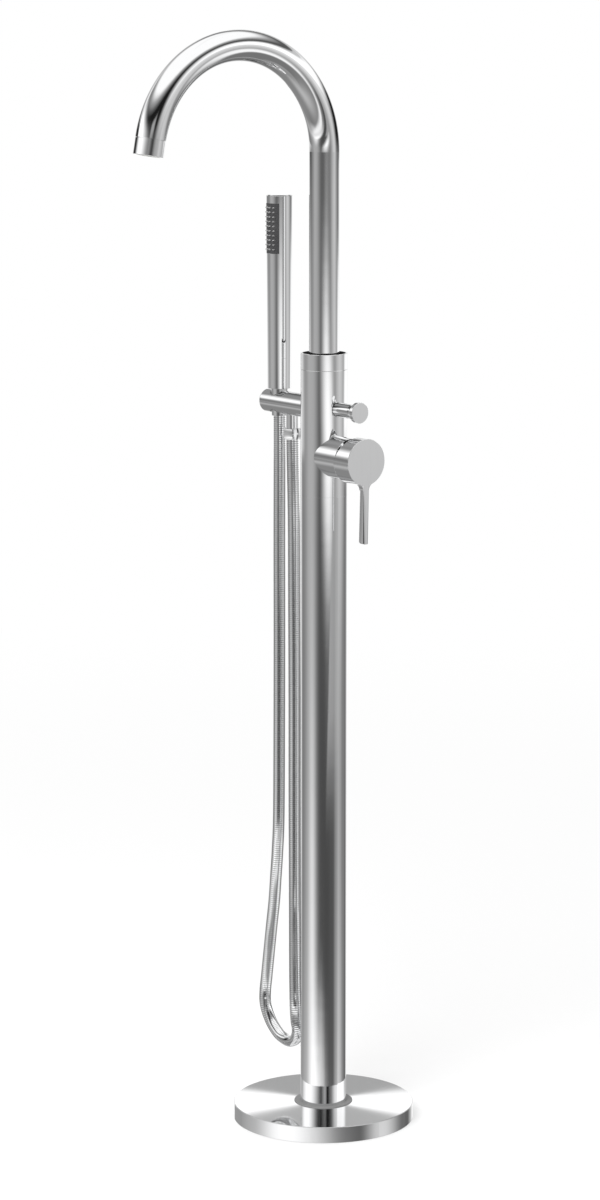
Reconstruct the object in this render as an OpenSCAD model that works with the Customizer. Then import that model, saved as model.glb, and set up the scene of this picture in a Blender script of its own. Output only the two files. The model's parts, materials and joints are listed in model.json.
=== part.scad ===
// Floor standing bath filler: a tall column on a round base cover, a mixer body with a single
// lever and a pull diverter, a swivelling hooped spout, and a stick hand shower on a side arm.
// Millimetres. +Z is up, the origin is on the floor on the column's axis, the spout reaches
// toward -Y, the lever faces +X and the hand shower's arm points toward -X.

/* [Base] */
// Outside diameter of the round base cover
base_d = 200; // [180:1:240]
// Height of the base cover above the floor
base_h = 17.8; // [17.2:0.2:24]
// Wall of the spun base cover
base_wall = 1.2; // [0.8:0.1:1.6]
// Radius of the cover's top edge
base_edge = 0.6; // [0.2:0.1:0.8]
// How far the floor flange stays inside the cover's rim
flange_inset = 25; // [15:1:32]
// Thickness of the floor flange
flange_t = 7; // [6:0.5:8]
// Thickness of the rubber gasket under the flange
gasket_t = 1.5; // [1:0.1:2]
// Diameter of the flange's floor bolt holes
bolt_d = 7; // [5:0.5:9]
// Number of floor bolts
bolt_count = 4; // [3:1:6]
// Distance of the bolt holes from the flange's edge
bolt_inset = 15; // [10:1:18]
// Outside diameter of the flat ring around the column's foot
foot_ring_d = 65; // [60:1:80]
// Thickness of the flat ring around the column's foot
foot_ring_t = 1; // [0.6:0.1:2]

/* [Column] */
// Outside diameter of the column, the mixer body and the top collar
column_d = 51; // [49:0.5:55]
// Wall of the column tube
column_wall = 1.5; // [1.2:0.1:2]
// Height of the seam between the column and the mixer body
column_top = 703; // [600:1:800]
// Height of the plug that the column slides over, above the flange
plug_h = 42; // [38:1:60]
// Thread bore of the two supply inlets
inlet_d = 18.6; // [17:0.1:19]
// Depth of the supply inlets
inlet_depth = 16; // [12:1:20]
// Outside diameter of the riser pipes
pipe_d = 12; // [10:0.5:13]
// Wall of the riser pipes
pipe_wall = 1; // [0.7:0.1:1.4]

/* [Mixer body] */
// Height of the mixer body from its lower seam to its upper seam
body_h = 137.5; // [132:0.5:150]
// Length of the body's spigot inside the column
body_spigot = 28; // [24:1:40]
// Height of the open collar above the body
collar_h = 17.5; // [14:0.5:26]
// Wall of the open collar
collar_wall = 2; // [1.4:0.1:2.6]
// Height of the threaded stub inside the collar
stub_h = 5; // [4:0.5:6]

/* [Spout] */
// Outside diameter of the spout tube
spout_d = 33.2; // [31:0.2:35]
// Wall of the spout tube
spout_wall = 1.5; // [1:0.1:2]
// Centreline radius of the spout's bend
bend_r = 114.8; // [90:0.2:140]
// Height where the spout's bend starts
bend_z = 1074.6; // [960:0.2:1200]
// Angle that the spout turns through
bend_angle = 169.3; // [150:0.1:180]
// Length of the outlet collar that holds the aerator
outlet_l = 17.75; // [16:0.25:24]
// Outside diameter of the outlet collar
outlet_d = 32.8; // [32.4:0.1:33.2]
// Diameter of the journal that the spout swivels on
journal_d = 26; // [25:0.2:27]
// Cell size of the aerator's honeycomb, across the flats
cell_af = 2.3; // [1.6:0.1:2.4]
// Wall between two cells of the honeycomb
cell_wall = 0.45; // [0.35:0.05:0.7]
// Rings of cells around the honeycomb's middle cell
cell_rings = 4; // [2:1:4]

/* [Lever] */
// Height of the lever's axis below the body's upper seam
lever_drop = 94; // [92:0.5:96]
// Diameter of the cartridge boss
boss_d = 45.7; // [44:0.1:48]
// Reach of the cartridge boss from the column's axis
boss_l = 48; // [47.5:0.1:52]
// Diameter of the lever's head
head_d = 50.4; // [48:0.2:54]
// Length of the lever's head
head_l = 25.4; // [23:0.2:30]
// Gap between the boss and the lever's head
head_seam = 0.4; // [0.3:0.05:0.8]
// Wall of the lever's hollow head
head_wall = 3; // [2:0.1:4]
// Thickness of the head's front plate
head_face = 4; // [3:0.1:5]
// Length of the lever from its axis to the tip
lever_l = 89; // [70:1:120]
// Width of the lever's stick
stick_w = 8; // [7:0.1:10]
// Depth of the stick where it leaves the head
stick_t = 6.8; // [6:0.1:9]
// Depth of the stick at its tip
stick_tip_t = 9; // [7:0.1:11]
// Radius of the blend between the head and the stick
blend_r = 7.5; // [4:0.1:12]
// Largest tilt of the lever
tilt_max = 20; // [12:1:22]
// Diameter of the mixing cartridge
cartridge_d = 35; // [34:0.5:36]

/* [Diverter] */
// Height of the diverter's axis below the body's upper seam
diverter_drop = 41.9; // [41:0.1:44]
// Diameter of the diverter's head
knob_d = 22.4; // [19:0.1:26]
// Diameter of the diverter's stem
stem_d = 15.4; // [15:0.1:16.4]
// Reach of the diverter's face from the column's axis
knob_reach = 63; // [58:0.5:70]
// Thickness of the diverter's rim
knob_rim = 4.6; // [3:0.1:6]
// Length of the flare behind the diverter's rim
knob_flare = 9; // [6:0.5:12]
// How far the diverter pulls out
diverter_travel = 12; // [8:0.5:12]

/* [Hand shower arm] */
// Diameter of the arm
arm_d = 25.5; // [24.5:0.1:28]
// Height of the arm's axis below the body's upper seam
arm_drop = 43.7; // [43:0.1:46]
// Reach of the arm's end from the column's axis
arm_reach = 101.35; // [98:0.5:120]
// Radius of the arm's rounded end
arm_edge = 2; // [0.5:0.1:4]
// Distance of the hand shower's axis from the column's axis
hand_x = 80; // [79:0.5:82]
// Distance of the hose outlet from the column's axis
outlet_x = 56.5; // [50:0.5:58]
// Outside diameter of the outlet nipple
nipple_d = 14; // [13.4:0.1:16]
// Width across the flats of the hose nut
nut_af = 18; // [16:0.5:20]
// Height of the hose nut
nut_h = 11.6; // [9:0.1:13]
// Distance of the hose nut's top below the arm's axis
nut_drop = 27; // [24:0.5:34]

/* [Hand shower] */
// Height of the hand shower's lower end above the arm's axis
hand_rise = 15.5; // [14.5:0.5:20]
// Length of the hand shower
hand_l = 210.8; // [180:0.5:240]
// Diameter at the hand shower's lower end
hand_low_d = 27; // [26.4:0.1:29]
// Diameter at the hand shower's upper end
hand_top_d = 29; // [28:0.1:31]
// Wall of the hand shower's shell
hand_wall = 1.5; // [1:0.1:1.8]
// Distance of the spray panel from the upper end
panel_drop = 8.1; // [7:0.1:14]
// Height of the spray panel
panel_h = 54.5; // [53:0.5:60]
// Angle that the spray panel covers
panel_angle = 96; // [80:1:110]
// Turn of the spray panel from -Y toward the lever's side
spray_turn = 4; // [0:1:15]
// Rows of spray nozzles
nozzle_rows = 10; // [6:1:10]
// Height from one row of nozzles to the next
nozzle_pitch = 5.05; // [4.4:0.05:5.1]
// Angle from one column of nozzles to the next
nozzle_step = 22; // [20:1:24]
// Diameter at the foot of a nozzle
nozzle_d = 2.5; // [2:0.1:2.8]
// How far the nozzles stand out of the panel
nozzle_out = 1.8; // [1:0.1:2.5]
// How far the dark cap lies below the upper rim
cap_recess = 2.4; // [1:0.1:3.5]

/* [Hose] */
// Outside diameter of the shower hose
hose_d = 13.6; // [12:0.1:14]
// Bore of the hose fittings
fitting_bore = 7; // [6:0.5:8]

/* [Hidden] */
$fn = 64;

// Fits and overruns
over = 1;
fit_gap = 0.05;
run_gap = 0.06;
seat_gap = 0.3;
seam_chamfer = 0.2;
seal_d = 1.5;
groove_play = 0.2;

// Column and base
column_r = column_d / 2;
column_bore = column_r - column_wall;
spigot_r = column_bore - fit_gap;
flange_r = base_d / 2 - flange_inset;
flange_top = gasket_t + flange_t;
plug_top = flange_top + plug_h;
inlet_end = gasket_t + inlet_depth;
cover_under = base_h - base_wall;
cover_gap = 0.4;
bolt_pcd = 2 * (flange_r - bolt_inset);
port_wall = 2.35;
pipe_y = spigot_r - inlet_d / 2 - port_wall;
pipe_r = pipe_d / 2;
pipe_bore = pipe_r - pipe_wall;
pipe_seat = 10;
screw_z = (flange_top + cover_under) / 2;
screw_r = 2;
screw_head_r = 3;
screw_head_h = 2.2;
screw_depth = 7;
screw_play = 0.25;
screw_angles = [30, 150, 210, 330];
screw_key_share = 0.55;

// Mixer body
body_top = column_top + body_h;
body_low = column_top - body_spigot;
collar_top = body_top + collar_h;
collar_bore = column_r - collar_wall;
stub_r = collar_bore - 1.45;
stub_top = body_top + stub_h;
joint_seal_z = column_top - body_spigot / 2;
riser_r = 4;
port_r = 3;
lever_z = body_top - lever_drop;
diverter_z = body_top - diverter_drop;
arm_z = body_top - arm_drop;

// Spout
spout_r = spout_d / 2;
spout_bore = spout_r - spout_wall;
journal_r = journal_d / 2;
bush_t = 3;
tail_flange_t = 1.5;
tail_flange_z = stub_top + bush_t + seat_gap;
spout_low = tail_flange_z + tail_flange_t;
tail_neck = 16;
journal_l = 36;
journal_low = tail_flange_z - journal_l;
socket_low = journal_low - 1.5;
tail_bore = 9.5;
retainer_z = body_top - 5;
retainer_r = 2.5;
retainer_bite = 1.2;
spout_seal_drops = [17.5, 9.5];

// Cartridge, along +X from the column's axis
chamber_floor = 5;
chamber_r = cartridge_d / 2 + fit_gap;
cartridge_r = cartridge_d / 2;
base_x = chamber_floor + seat_gap;
cartridge_base_t = 3;
housing_x = base_x + cartridge_base_t;
housing_wall = 2.3;
housing_bore = cartridge_r - housing_wall;
nut_x = 38.6;
nut_t = boss_l - nut_x - 1.5;
nut_wall = 1.7;
nut_r = cartridge_r + nut_wall;
neck_r = 14.2;
neck_end = boss_l - 2;
neck_bore = 11.1;
shoulder_t = 1;
port_y = 7.5;
port_dz = -3.5;
mixed_dz = 7.5;
port_seal_r = 3.9;
port_seal_d = 1.2;
disc_t = 4;
disc_r = 14;
moving_r = 10;
disc_gap = 0.05;
carrier_r = 9.4;
moving_x = housing_x + disc_gap + disc_t + disc_gap;
carrier_x = moving_x + disc_t;
pivot_x = 40;
crank = 13;
ball_r = 3;
ball_play = 0.3;
ball_x = pivot_x - crank;
carrier_end = ball_x + ball_r;
holder_x = carrier_end + seat_gap;
holder_r = housing_bore - seat_gap;
holder_end = boss_l - 1;
spindle_sq = 7;
spindle_play = 0.35;
spindle_rod = 2;
spindle_boss = 4;
pin_r = 1.5;
pin_gap = 0.03;

// Lever
head_r = head_d / 2;
head_x = boss_l + head_seam;
face_x = head_x + head_l;
head_bore = head_r - head_wall;
hub_r = 8;
hub_gap = 4;
hub_x = boss_l + hub_gap;
plate_x = face_x - head_face;
socket_end = plate_x - 3;
cut_drop = 1;
cut_angle = tilt_max + 1;
stick_edge = 0.6;
stick_back_r = 2.6;
stick_top_share = 0.8;
grub_r = 2;
grub_x_share = 0.55;
grub_access = 0.4;

// Diverter, along +X from the column's axis
stem_r = stem_d / 2;
knob_r = knob_d / 2;
chamber_end = -16.5;
valve_r = 7.1;
piston_x = -12;
piston_t = 4;
piston_r = valve_r - seat_gap;
piston_core = 2;
divert_in = -4;
divert_out = 8;
branch_r = 3.5;
gland_x = 12;
gland_t = 8;
gland_end = gland_x + gland_t;
spindle_r = 3;
mouth_gap = 0.35;
knob_seat = 12;
spring_wire = 0.5;
spring_r = 4.9;
spring_turns = 6;
spring_sides = 6;
spring_steps = 14;

// Arm
arm_r = arm_d / 2;
arm_spigot_r = 9;
arm_spigot = 7.2;
arm_water = 4.5;
nipple_r = nipple_d / 2;
nipple_seat = 7.5;
nipple_thread = 5.8;
nipple_bore = 3.5;
nipple_step = 1.2;
valve_body_r = 4.6;
valve_l = 10;
nut_top = arm_z - nut_drop;
nut_low = nut_top - nut_h;
nut_floor = 2;
washer_t = 1.3;
nut_turn = -38;
nut_chamfer = 1;

// Hand shower
hand_z = arm_z + hand_rise;
hand_top = hand_z + hand_l;
hand_low_r = hand_low_d / 2;
hand_top_r = hand_top_d / 2;
hand_edge = 0.7;
neck_low_r = 8.7;
neck_top_r = 9.4;
neck_out = 2;
liner_t = 0.75;
neck_low = arm_z - arm_r - neck_out;
tail_rise = 0.7;
tail_z = hand_z + tail_rise;
tail_l = 14;
tail_thread = 8.5;
tail_thread_l = 9;
tail_inner = 5.5;
water_r = 7;
water_wall = 1.2;
panel_top = hand_top - panel_drop;
panel_low = panel_top - panel_h;
panel_recess = 0.3;
panel_lip = 1.2;
panel_lip_h = 1.6;
panel_play = 0.15;
mat_t = 1.2;
mat_lip_h = 1;
water_head_gap = 0.1;
head_water_wall = 1.5;
nozzle_tip_share = 0.6;
nozzle_play = 0.1;
nozzle_cols = 3;
cap_t = 4;
cap_dish = 1.2;

// Hose: route points of its centreline, from the hand shower down the left run, round the loop
// and up the right run to the nut
hose_r = hose_d / 2;
hose_sides = 10;
hose_step = 34;
hose_route = [
    [-80, 0, 782], [-80, 0, 740], [-80.5, 0, 640], [-80.5, 0, 540], [-81, 0, 430], [-82, 0, 330],
    [-84.5, 0, 289], [-87.5, 0, 259], [-92, 1, 228.5], [-97.5, 1.5, 198.5], [-103.5, 2.5, 168],
    [-109, 3, 136.5], [-111, 2.5, 120], [-110.5, 2, 107], [-107, 2.5, 95], [-99.5, 3.5, 83],
    [-88.5, 4, 74], [-78.5, 4, 70.5], [-67, 3, 70], [-55.5, 1.5, 74], [-47, -1, 81.5],
    [-42, -4, 91], [-40, -7.5, 104], [-39.5, -9, 125], [-43, -7, 163], [-50.5, -1.5, 238],
    [-53.5, 0.5, 360], [-53.5, 0.5, 470], [-53.5, 0, 580], [-54, 0, 670], [-56, 0, 735],
    [-56.5, 0, 758]];

// Colours
chrome = [0.78, 0.79, 0.80];
brass = [0.78, 0.64, 0.36];
steel = [0.62, 0.63, 0.65];
grey_rubber = [0.50, 0.50, 0.50];
black_rubber = [0.10, 0.10, 0.10];
black_plastic = [0.07, 0.07, 0.08];
white_plastic = [0.88, 0.88, 0.86];
dark_plastic = [0.25, 0.25, 0.26];
silicone = [0.58, 0.58, 0.58];
ceramic = [0.93, 0.92, 0.88];

// Tube along +Z from the origin
module tube(outer, inner, length) {
    difference() {
        cylinder(r = outer, h = length);
        translate([0, 0, -over]) cylinder(r = inner, h = length + 2 * over);
    }
}

// Rubber ring around a shaft of the given radius, in the plane of the origin
module oring(shaft, wire) {
    rotate_extrude() translate([shaft + fit_gap + wire / 2, 0]) circle(d = wire, $fn = 24);
}

// Ring shaped groove for a rubber ring, to cut out of a shaft or out of a bore's wall
module groove(inner, outer, wire) {
    translate([0, 0, -wire / 2 - groove_play]) tube(outer, inner, wire + 2 * groove_play);
}

// Places its children with +Z turned to +X, at a distance along X and at a height
module along_x(x, z) {
    translate([x, 0, z]) rotate([0, 90, 0]) children();
}

// Upright rod whose two ends have a small chamfer
module chamfered(r, h, c) {
    rotate_extrude() polygon([[0, 0], [r - c, 0], [r, c], [r, h - c], [r - c, h], [0, h]]);
}

// Half section of a disc with a rounded top edge
module edge_section(r, h, edge) {
    square([r - edge, h]);
    square([r, h - edge]);
    translate([r - edge, h - edge]) circle(edge);
}

// The two supply pipes' places
module at_pipes() {
    for (side = [-1, 1]) translate([0, side * pipe_y, 0]) children();
}

module base_cover() {
    color(chrome) difference() {
        rotate_extrude() edge_section(base_d / 2, base_h, base_edge);
        translate([0, 0, -over]) cylinder(r = base_d / 2 - base_wall, h = cover_under + over);
        cylinder(r = column_r + cover_gap, h = base_h + over);
    }
}

module column_foot_ring() {
    color(grey_rubber) translate([0, 0, base_h]) difference() {
        rotate_extrude() polygon([
            [0, 0], [foot_ring_d / 2, 0], [foot_ring_d / 2, foot_ring_t / 2],
            [foot_ring_d / 2 - foot_ring_t / 2, foot_ring_t], [0, foot_ring_t]]);
        translate([0, 0, -over]) cylinder(r = column_r + fit_gap, h = foot_ring_t + 2 * over);
    }
}

// Floor bolt holes, on a circle around the column
module bolt_holes(h) {
    for (i = [0 : bolt_count - 1])
        rotate([0, 0, 45 + 360 * i / bolt_count])
            translate([bolt_pcd / 2, 0, -over]) cylinder(d = bolt_d, h = h + 2 * over);
}

module floor_flange() {
    color(brass) difference() {
        translate([0, 0, gasket_t]) tube(flange_r, spigot_r + fit_gap, flange_t);
        translate([0, 0, gasket_t]) bolt_holes(flange_t);
    }
}

// Tapped holes for the column's screws, in the block and the plug
module screw_bores() {
    for (a = screw_angles)
        rotate([0, 0, a]) translate([spigot_r - screw_depth, 0, screw_z])
            rotate([0, 90, 0]) cylinder(r = screw_r + fit_gap, h = screw_depth + over);
}

// The block is brazed into the flange and takes the two supplies
module inlet_block() {
    color(brass) difference() {
        translate([0, 0, gasket_t]) cylinder(r = spigot_r, h = inlet_depth);
        at_pipes() translate([0, 0, gasket_t - over])
            cylinder(d = inlet_d, h = inlet_depth + 2 * over);
        screw_bores();
    }
}

// The plug is brazed on the block, carries the column and holds the two pipes
module column_plug() {
    color(brass) difference() {
        translate([0, 0, inlet_end]) cylinder(r = spigot_r, h = plug_top - inlet_end);
        at_pipes() {
            translate([0, 0, inlet_end - over])
                cylinder(r = pipe_bore, h = plug_top - inlet_end + 2 * over);
            translate([0, 0, plug_top - pipe_seat])
                cylinder(r = pipe_r + fit_gap, h = pipe_seat + over);
            translate([0, 0, plug_top - pipe_seat / 2])
                groove(pipe_r, pipe_r + seal_d + 2 * fit_gap, seal_d);
        }
        screw_bores();
    }
}

module floor_gasket() {
    color(black_rubber) difference() {
        cylinder(r = flange_r, h = gasket_t);
        translate([0, 0, -over]) cylinder(r = spigot_r, h = gasket_t + 2 * over);
        bolt_holes(gasket_t);
    }
}

module column_tube() {
    color(chrome) difference() {
        translate([0, 0, flange_top]) tube(column_r, column_bore, column_top - flange_top);
        for (a = screw_angles)
            rotate([0, 0, a]) translate([column_bore - over, 0, screw_z])
                rotate([0, 90, 0]) cylinder(r = screw_r + screw_play, h = column_wall + 2 * over);
    }
}

// One of the screws that tie the column to the flange's plug
module column_screw() {
    shank = screw_depth - screw_play;
    translate([spigot_r - shank, 0, screw_z]) rotate([0, 90, 0]) difference() {
        union() {
            cylinder(r = screw_r, h = shank + column_wall + fit_gap);
            translate([0, 0, shank + column_wall + fit_gap])
                cylinder(r = screw_head_r, h = screw_head_h);
        }
        translate([0, 0, shank + column_wall + screw_head_h / 2])
            cylinder(r = screw_r * screw_key_share, h = screw_head_h + over, $fn = 6);
    }
}

module column_screws() {
    color(steel) for (a = screw_angles) rotate([0, 0, a]) column_screw();
}

// A riser pipe from the flange's plug to the mixer body's spigot
module riser(side) {
    low = plug_top - pipe_seat + seat_gap;
    high = body_low + pipe_seat - seat_gap;
    color(brass) translate([0, side * pipe_y, low]) tube(pipe_r, pipe_bore, high - low);
}

module hot_riser() {
    riser(-1);
}

module cold_riser() {
    riser(1);
}

module riser_seals() {
    color(black_rubber) at_pipes()
        for (z = [plug_top - pipe_seat / 2, body_low + pipe_seat / 2])
            translate([0, 0, z]) oring(pipe_r, seal_d);
}

// Waterways inside the mixer body: supply risers, cartridge ports and the diverter's branches
module body_waterways() {
    at_pipes() {
        translate([0, 0, body_low - over])
            cylinder(r = riser_r, h = lever_z + port_dz + riser_r - body_low + over);
        translate([0, 0, body_low - over]) cylinder(r = pipe_r + fit_gap, h = pipe_seat + over);
        translate([0, 0, body_low + pipe_seat / 2])
            groove(pipe_r, pipe_r + seal_d + 2 * fit_gap, seal_d);
    }
    for (side = [-1, 1]) {
        translate([0, side * port_y, lever_z + port_dz])
            rotate([0, 90, 0]) cylinder(r = port_r, h = chamber_floor + over);
        translate([0, side * port_y, lever_z + port_dz])
            rotate([-90 * side, 0, 0]) cylinder(r = port_r, h = pipe_y - port_y);
    }
    along_x(divert_in, lever_z + mixed_dz) cylinder(r = port_r, h = chamber_floor - divert_in + over);
    translate([divert_in, 0, lever_z + mixed_dz])
        cylinder(r = branch_r, h = diverter_z - lever_z - mixed_dz);
    translate([divert_out, 0, diverter_z]) cylinder(r = branch_r, h = socket_low - diverter_z + over);
    along_x(-column_r, diverter_z) cylinder(r = branch_r, h = column_r + chamber_end + over);
}

module mixer_body() {
    color(chrome) difference() {
        union() {
            translate([0, 0, column_top]) chamfered(column_r, body_h, seam_chamfer);
            translate([0, 0, body_low]) chamfered(spigot_r, body_spigot + over, 2 * seam_chamfer);
            translate([0, 0, body_top - over]) cylinder(r = stub_r, h = stub_h + over);
            along_x(0, lever_z) chamfered(boss_d / 2, boss_l, seam_chamfer);
        }
        translate([0, 0, joint_seal_z])
            groove(spigot_r - seal_d - fit_gap, spigot_r + over, seal_d);
        along_x(chamber_floor, lever_z) cylinder(r = chamber_r, h = boss_l);
        along_x(nut_x, lever_z) cylinder(r = nut_r + fit_gap, h = boss_l);
        along_x(chamber_end, diverter_z) cylinder(r = valve_r, h = gland_end - chamber_end + over);
        along_x(gland_end, diverter_z) cylinder(r = stem_r + mouth_gap, h = column_r);
        translate([0, 0, socket_low]) cylinder(r = journal_r + run_gap, h = column_top);
        along_x(-column_r - over, arm_z)
            cylinder(r = arm_spigot_r + fit_gap, h = arm_spigot + seat_gap + over);
        translate([0, journal_r - retainer_bite, retainer_z])
            rotate([-90, 0, 0]) cylinder(r = retainer_r + fit_gap, h = column_r);
        body_waterways();
    }
}

module body_joint_seal() {
    color(black_rubber) translate([0, 0, joint_seal_z])
        oring(spigot_r - seal_d - 2 * fit_gap, seal_d);
}

module top_collar() {
    color(chrome) translate([0, 0, body_top]) difference() {
        chamfered(column_r, collar_h, seam_chamfer);
        translate([0, 0, -over]) cylinder(r = stub_r + fit_gap, h = collar_h + 2 * over);
        translate([0, 0, stub_h]) cylinder(r = collar_bore, h = collar_h);
    }
}

module spout_bush() {
    color(black_plastic) translate([0, 0, stub_top])
        tube(collar_bore - fit_gap, journal_r + run_gap, bush_t);
}

// Cuts a hexagonal key socket into a screw whose outer end is at the origin, facing +Z
module key_socket(r, depth) {
    translate([0, 0, -depth]) cylinder(r = r * screw_key_share, h = depth + over, $fn = 6);
}

module spout_retaining_screw() {
    tip = journal_r - retainer_bite + seat_gap;
    length = sqrt(pow(column_r, 2) - pow(retainer_r, 2)) - tip - seat_gap;
    color(steel) translate([0, tip, retainer_z]) rotate([-90, 0, 0]) difference() {
        cylinder(r = retainer_r, h = length);
        translate([0, 0, length]) key_socket(retainer_r, retainer_r);
    }
}

// The three ports of the cartridge, seen along +X, as [y, height above the lever's axis]
cartridge_ports = [[-port_y, port_dz], [port_y, port_dz], [0, mixed_dz]];

module cartridge_base() {
    color(white_plastic) difference() {
        along_x(base_x, lever_z) cylinder(r = cartridge_r, h = cartridge_base_t);
        for (p = cartridge_ports) {
            translate([0, p[0], 0]) along_x(base_x - over, lever_z + p[1])
                cylinder(r = port_r, h = cartridge_base_t + 2 * over);
            translate([0, p[0], 0]) along_x(base_x - over, lever_z + p[1])
                cylinder(r = port_seal_r + port_seal_d / 2 + fit_gap,
                    h = port_seal_d - seat_gap + 2 * fit_gap + over);
        }
    }
}

module cartridge_seals() {
    color(black_rubber) for (p = cartridge_ports)
        translate([0, p[0], 0]) along_x(chamber_floor + fit_gap + port_seal_d / 2, lever_z + p[1])
            rotate_extrude() translate([port_seal_r, 0]) circle(d = port_seal_d, $fn = 24);
}

module cartridge_housing() {
    bore_l = nut_x - shoulder_t - housing_x;
    color(white_plastic) along_x(housing_x, lever_z) difference() {
        union() {
            cylinder(r = cartridge_r, h = nut_x - housing_x);
            cylinder(r = neck_r, h = neck_end - housing_x);
        }
        translate([0, 0, -over]) cylinder(r = housing_bore, h = bore_l + over);
        cylinder(r = neck_bore, h = boss_l);
    }
}

module fixed_disc() {
    color(ceramic) difference() {
        along_x(housing_x + disc_gap, lever_z) cylinder(r = disc_r, h = disc_t - disc_gap);
        for (p = cartridge_ports)
            translate([0, p[0], 0]) along_x(housing_x, lever_z + p[1])
                cylinder(r = port_r, h = disc_t + over);
    }
}

module cartridge_nut() {
    color(brass) along_x(nut_x + fit_gap, lever_z) difference() {
        tube(nut_r, neck_r + fit_gap, nut_t);
        for (a = [0 : 90 : 270])
            rotate([0, 0, a]) translate([neck_r, -nut_wall, nut_t / 2])
                cube([nut_r, 2 * nut_wall, nut_t]);
    }
}

// Slot in the spindle holder, as wide as the spindle, that the spindle tilts in
module spindle_slot() {
    rear = holder_x - over;
    front = holder_end + over;
    half = spindle_sq / 2 + spindle_play;
    swing_rear = (pivot_x - rear) * tan(tilt_max);
    swing_front = (front - pivot_x) * tan(tilt_max);
    boss = spindle_boss + spindle_play;
    translate([0, half, lever_z]) rotate([90, 0, 0]) linear_extrude(height = 2 * half) {
        polygon([
            [rear, half], [rear, -half - swing_rear], [pivot_x, -boss], [front, -boss],
            [front, half + swing_front + spindle_play], [pivot_x, boss]]);
        translate([pivot_x, 0]) circle(boss + spindle_play);
    }
}

module spindle_holder() {
    shoulder = nut_x - shoulder_t - seat_gap;
    color(white_plastic) difference() {
        union() {
            along_x(holder_x, lever_z) cylinder(r = holder_r, h = shoulder - holder_x);
            along_x(holder_x, lever_z) cylinder(r = neck_bore - run_gap, h = holder_end - holder_x);
        }
        spindle_slot();
        translate([pivot_x, 0, lever_z]) rotate([90, 0, 0])
            cylinder(r = pin_r + fit_gap, h = 2 * neck_bore, center = true);
    }
}

module spindle_pin() {
    color(steel) translate([pivot_x, 0, lever_z]) rotate([90, 0, 0])
        cylinder(r = pin_r, h = 2 * (neck_bore - spindle_play) - pin_r, center = true);
}

module disc_carrier() {
    color(white_plastic) along_x(carrier_x, lever_z) difference() {
        cylinder(r = carrier_r, h = carrier_end - carrier_x);
        translate([0, 0, ball_x - ball_r - seat_gap - carrier_x])
            cylinder(r = ball_r + ball_play, h = carrier_end);
    }
}

module moving_disc() {
    color(ceramic) along_x(moving_x, lever_z) difference() {
        cylinder(r = moving_r, h = disc_t);
        translate([0, 0, -over]) cylinder(r = moving_r - disc_t, h = disc_t / 2 + over);
    }
}

module lever_spindle() {
    color(brass) difference() {
        union() {
            translate([pivot_x, 0, lever_z]) rotate([90, 0, 0])
                cylinder(r = spindle_boss, h = spindle_sq, center = true);
            translate([pivot_x, -spindle_sq / 2, lever_z - spindle_sq / 2])
                cube([socket_end - seat_gap - pivot_x, spindle_sq, spindle_sq]);
            along_x(ball_x, lever_z) cylinder(r = spindle_rod, h = crank);
            translate([ball_x, 0, lever_z]) sphere(ball_r);
        }
        translate([pivot_x, 0, lever_z]) rotate([90, 0, 0])
            cylinder(r = pin_r + pin_gap, h = 2 * spindle_sq, center = true);
    }
}

// Front outline of the lever's stick where it flows out of the round head, as [y, z]
module stick_blend() {
    cy = stick_w / 2 + blend_r;
    cz = sqrt(pow(head_r + blend_r, 2) - pow(cy, 2));
    k = head_r / (head_r + blend_r);
    difference() {
        polygon([[-cy * k, -cz * k], [-cy, -cz], [cy, -cz], [cy * k, -cz * k]]);
        for (side = [-1, 1]) translate([side * cy, -cz]) circle(blend_r);
    }
}

// The stick: flat in front, rounded behind, and deeper toward its tip
module lever_stick() {
    side = stick_w / 2;
    top = head_r * stick_top_share;
    hull() {
        for (y = [-1, 1]) {
            translate([face_x - stick_edge, y * (side - stick_edge), lever_z - top])
                cylinder(r = stick_edge, h = stick_edge, $fn = 32);
            translate([face_x - stick_t + stick_back_r, y * (side - stick_back_r), lever_z - top])
                cylinder(r = stick_back_r, h = stick_edge, $fn = 32);
            translate([face_x - stick_edge, y * (side - stick_back_r), lever_z - lever_l + stick_back_r])
                rotate([0, 90, 0]) cylinder(r = stick_back_r, h = stick_edge, $fn = 32);
            translate([face_x - stick_tip_t + stick_back_r, y * (side - stick_back_r),
                lever_z - lever_l + stick_back_r]) sphere(stick_back_r, $fn = 32);
        }
    }
}

// Wedge cut off the top of the head's rear rim, so that the head can tilt over the boss
module tilt_cut() {
    high = head_r + over;
    translate([0, head_r + over, lever_z]) rotate([90, 0, 0])
        linear_extrude(height = 2 * (head_r + over))
            polygon([
                [head_x - over, -cut_drop], [head_x, -cut_drop],
                [head_x + (high + cut_drop) * tan(cut_angle), high], [head_x - over, high]]);
}

// Place of the grub screw that clamps the head on its spindle
module at_grub() {
    x = hub_x + (socket_end - hub_x) * grub_x_share;
    translate([x, 0, lever_z]) rotate([180, 0, 0]) children();
}

module lever_handle() {
    color(chrome) difference() {
        union() {
            difference() {
                along_x(head_x, lever_z) chamfered(head_r, head_l, seam_chamfer);
                along_x(head_x - over, lever_z)
                    cylinder(r = head_bore, h = plate_x - head_x + over);
                tilt_cut();
            }
            along_x(hub_x, lever_z) cylinder(r = hub_r, h = plate_x - hub_x + over);
            translate([face_x - stick_t, 0, lever_z]) rotate([90, 0, 90])
                linear_extrude(height = stick_t - seam_chamfer) stick_blend();
            lever_stick();
        }
        translate([hub_x - over, -spindle_sq / 2 - fit_gap, lever_z - spindle_sq / 2 - fit_gap])
            cube([socket_end - hub_x + over, spindle_sq + 2 * fit_gap, spindle_sq + 2 * fit_gap]);
        at_grub() cylinder(r = grub_r + fit_gap, h = hub_r + over);
        at_grub() translate([0, 0, head_bore - over])
            cylinder(r = grub_r + grub_access, h = head_wall + 2 * over);
    }
}

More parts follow.
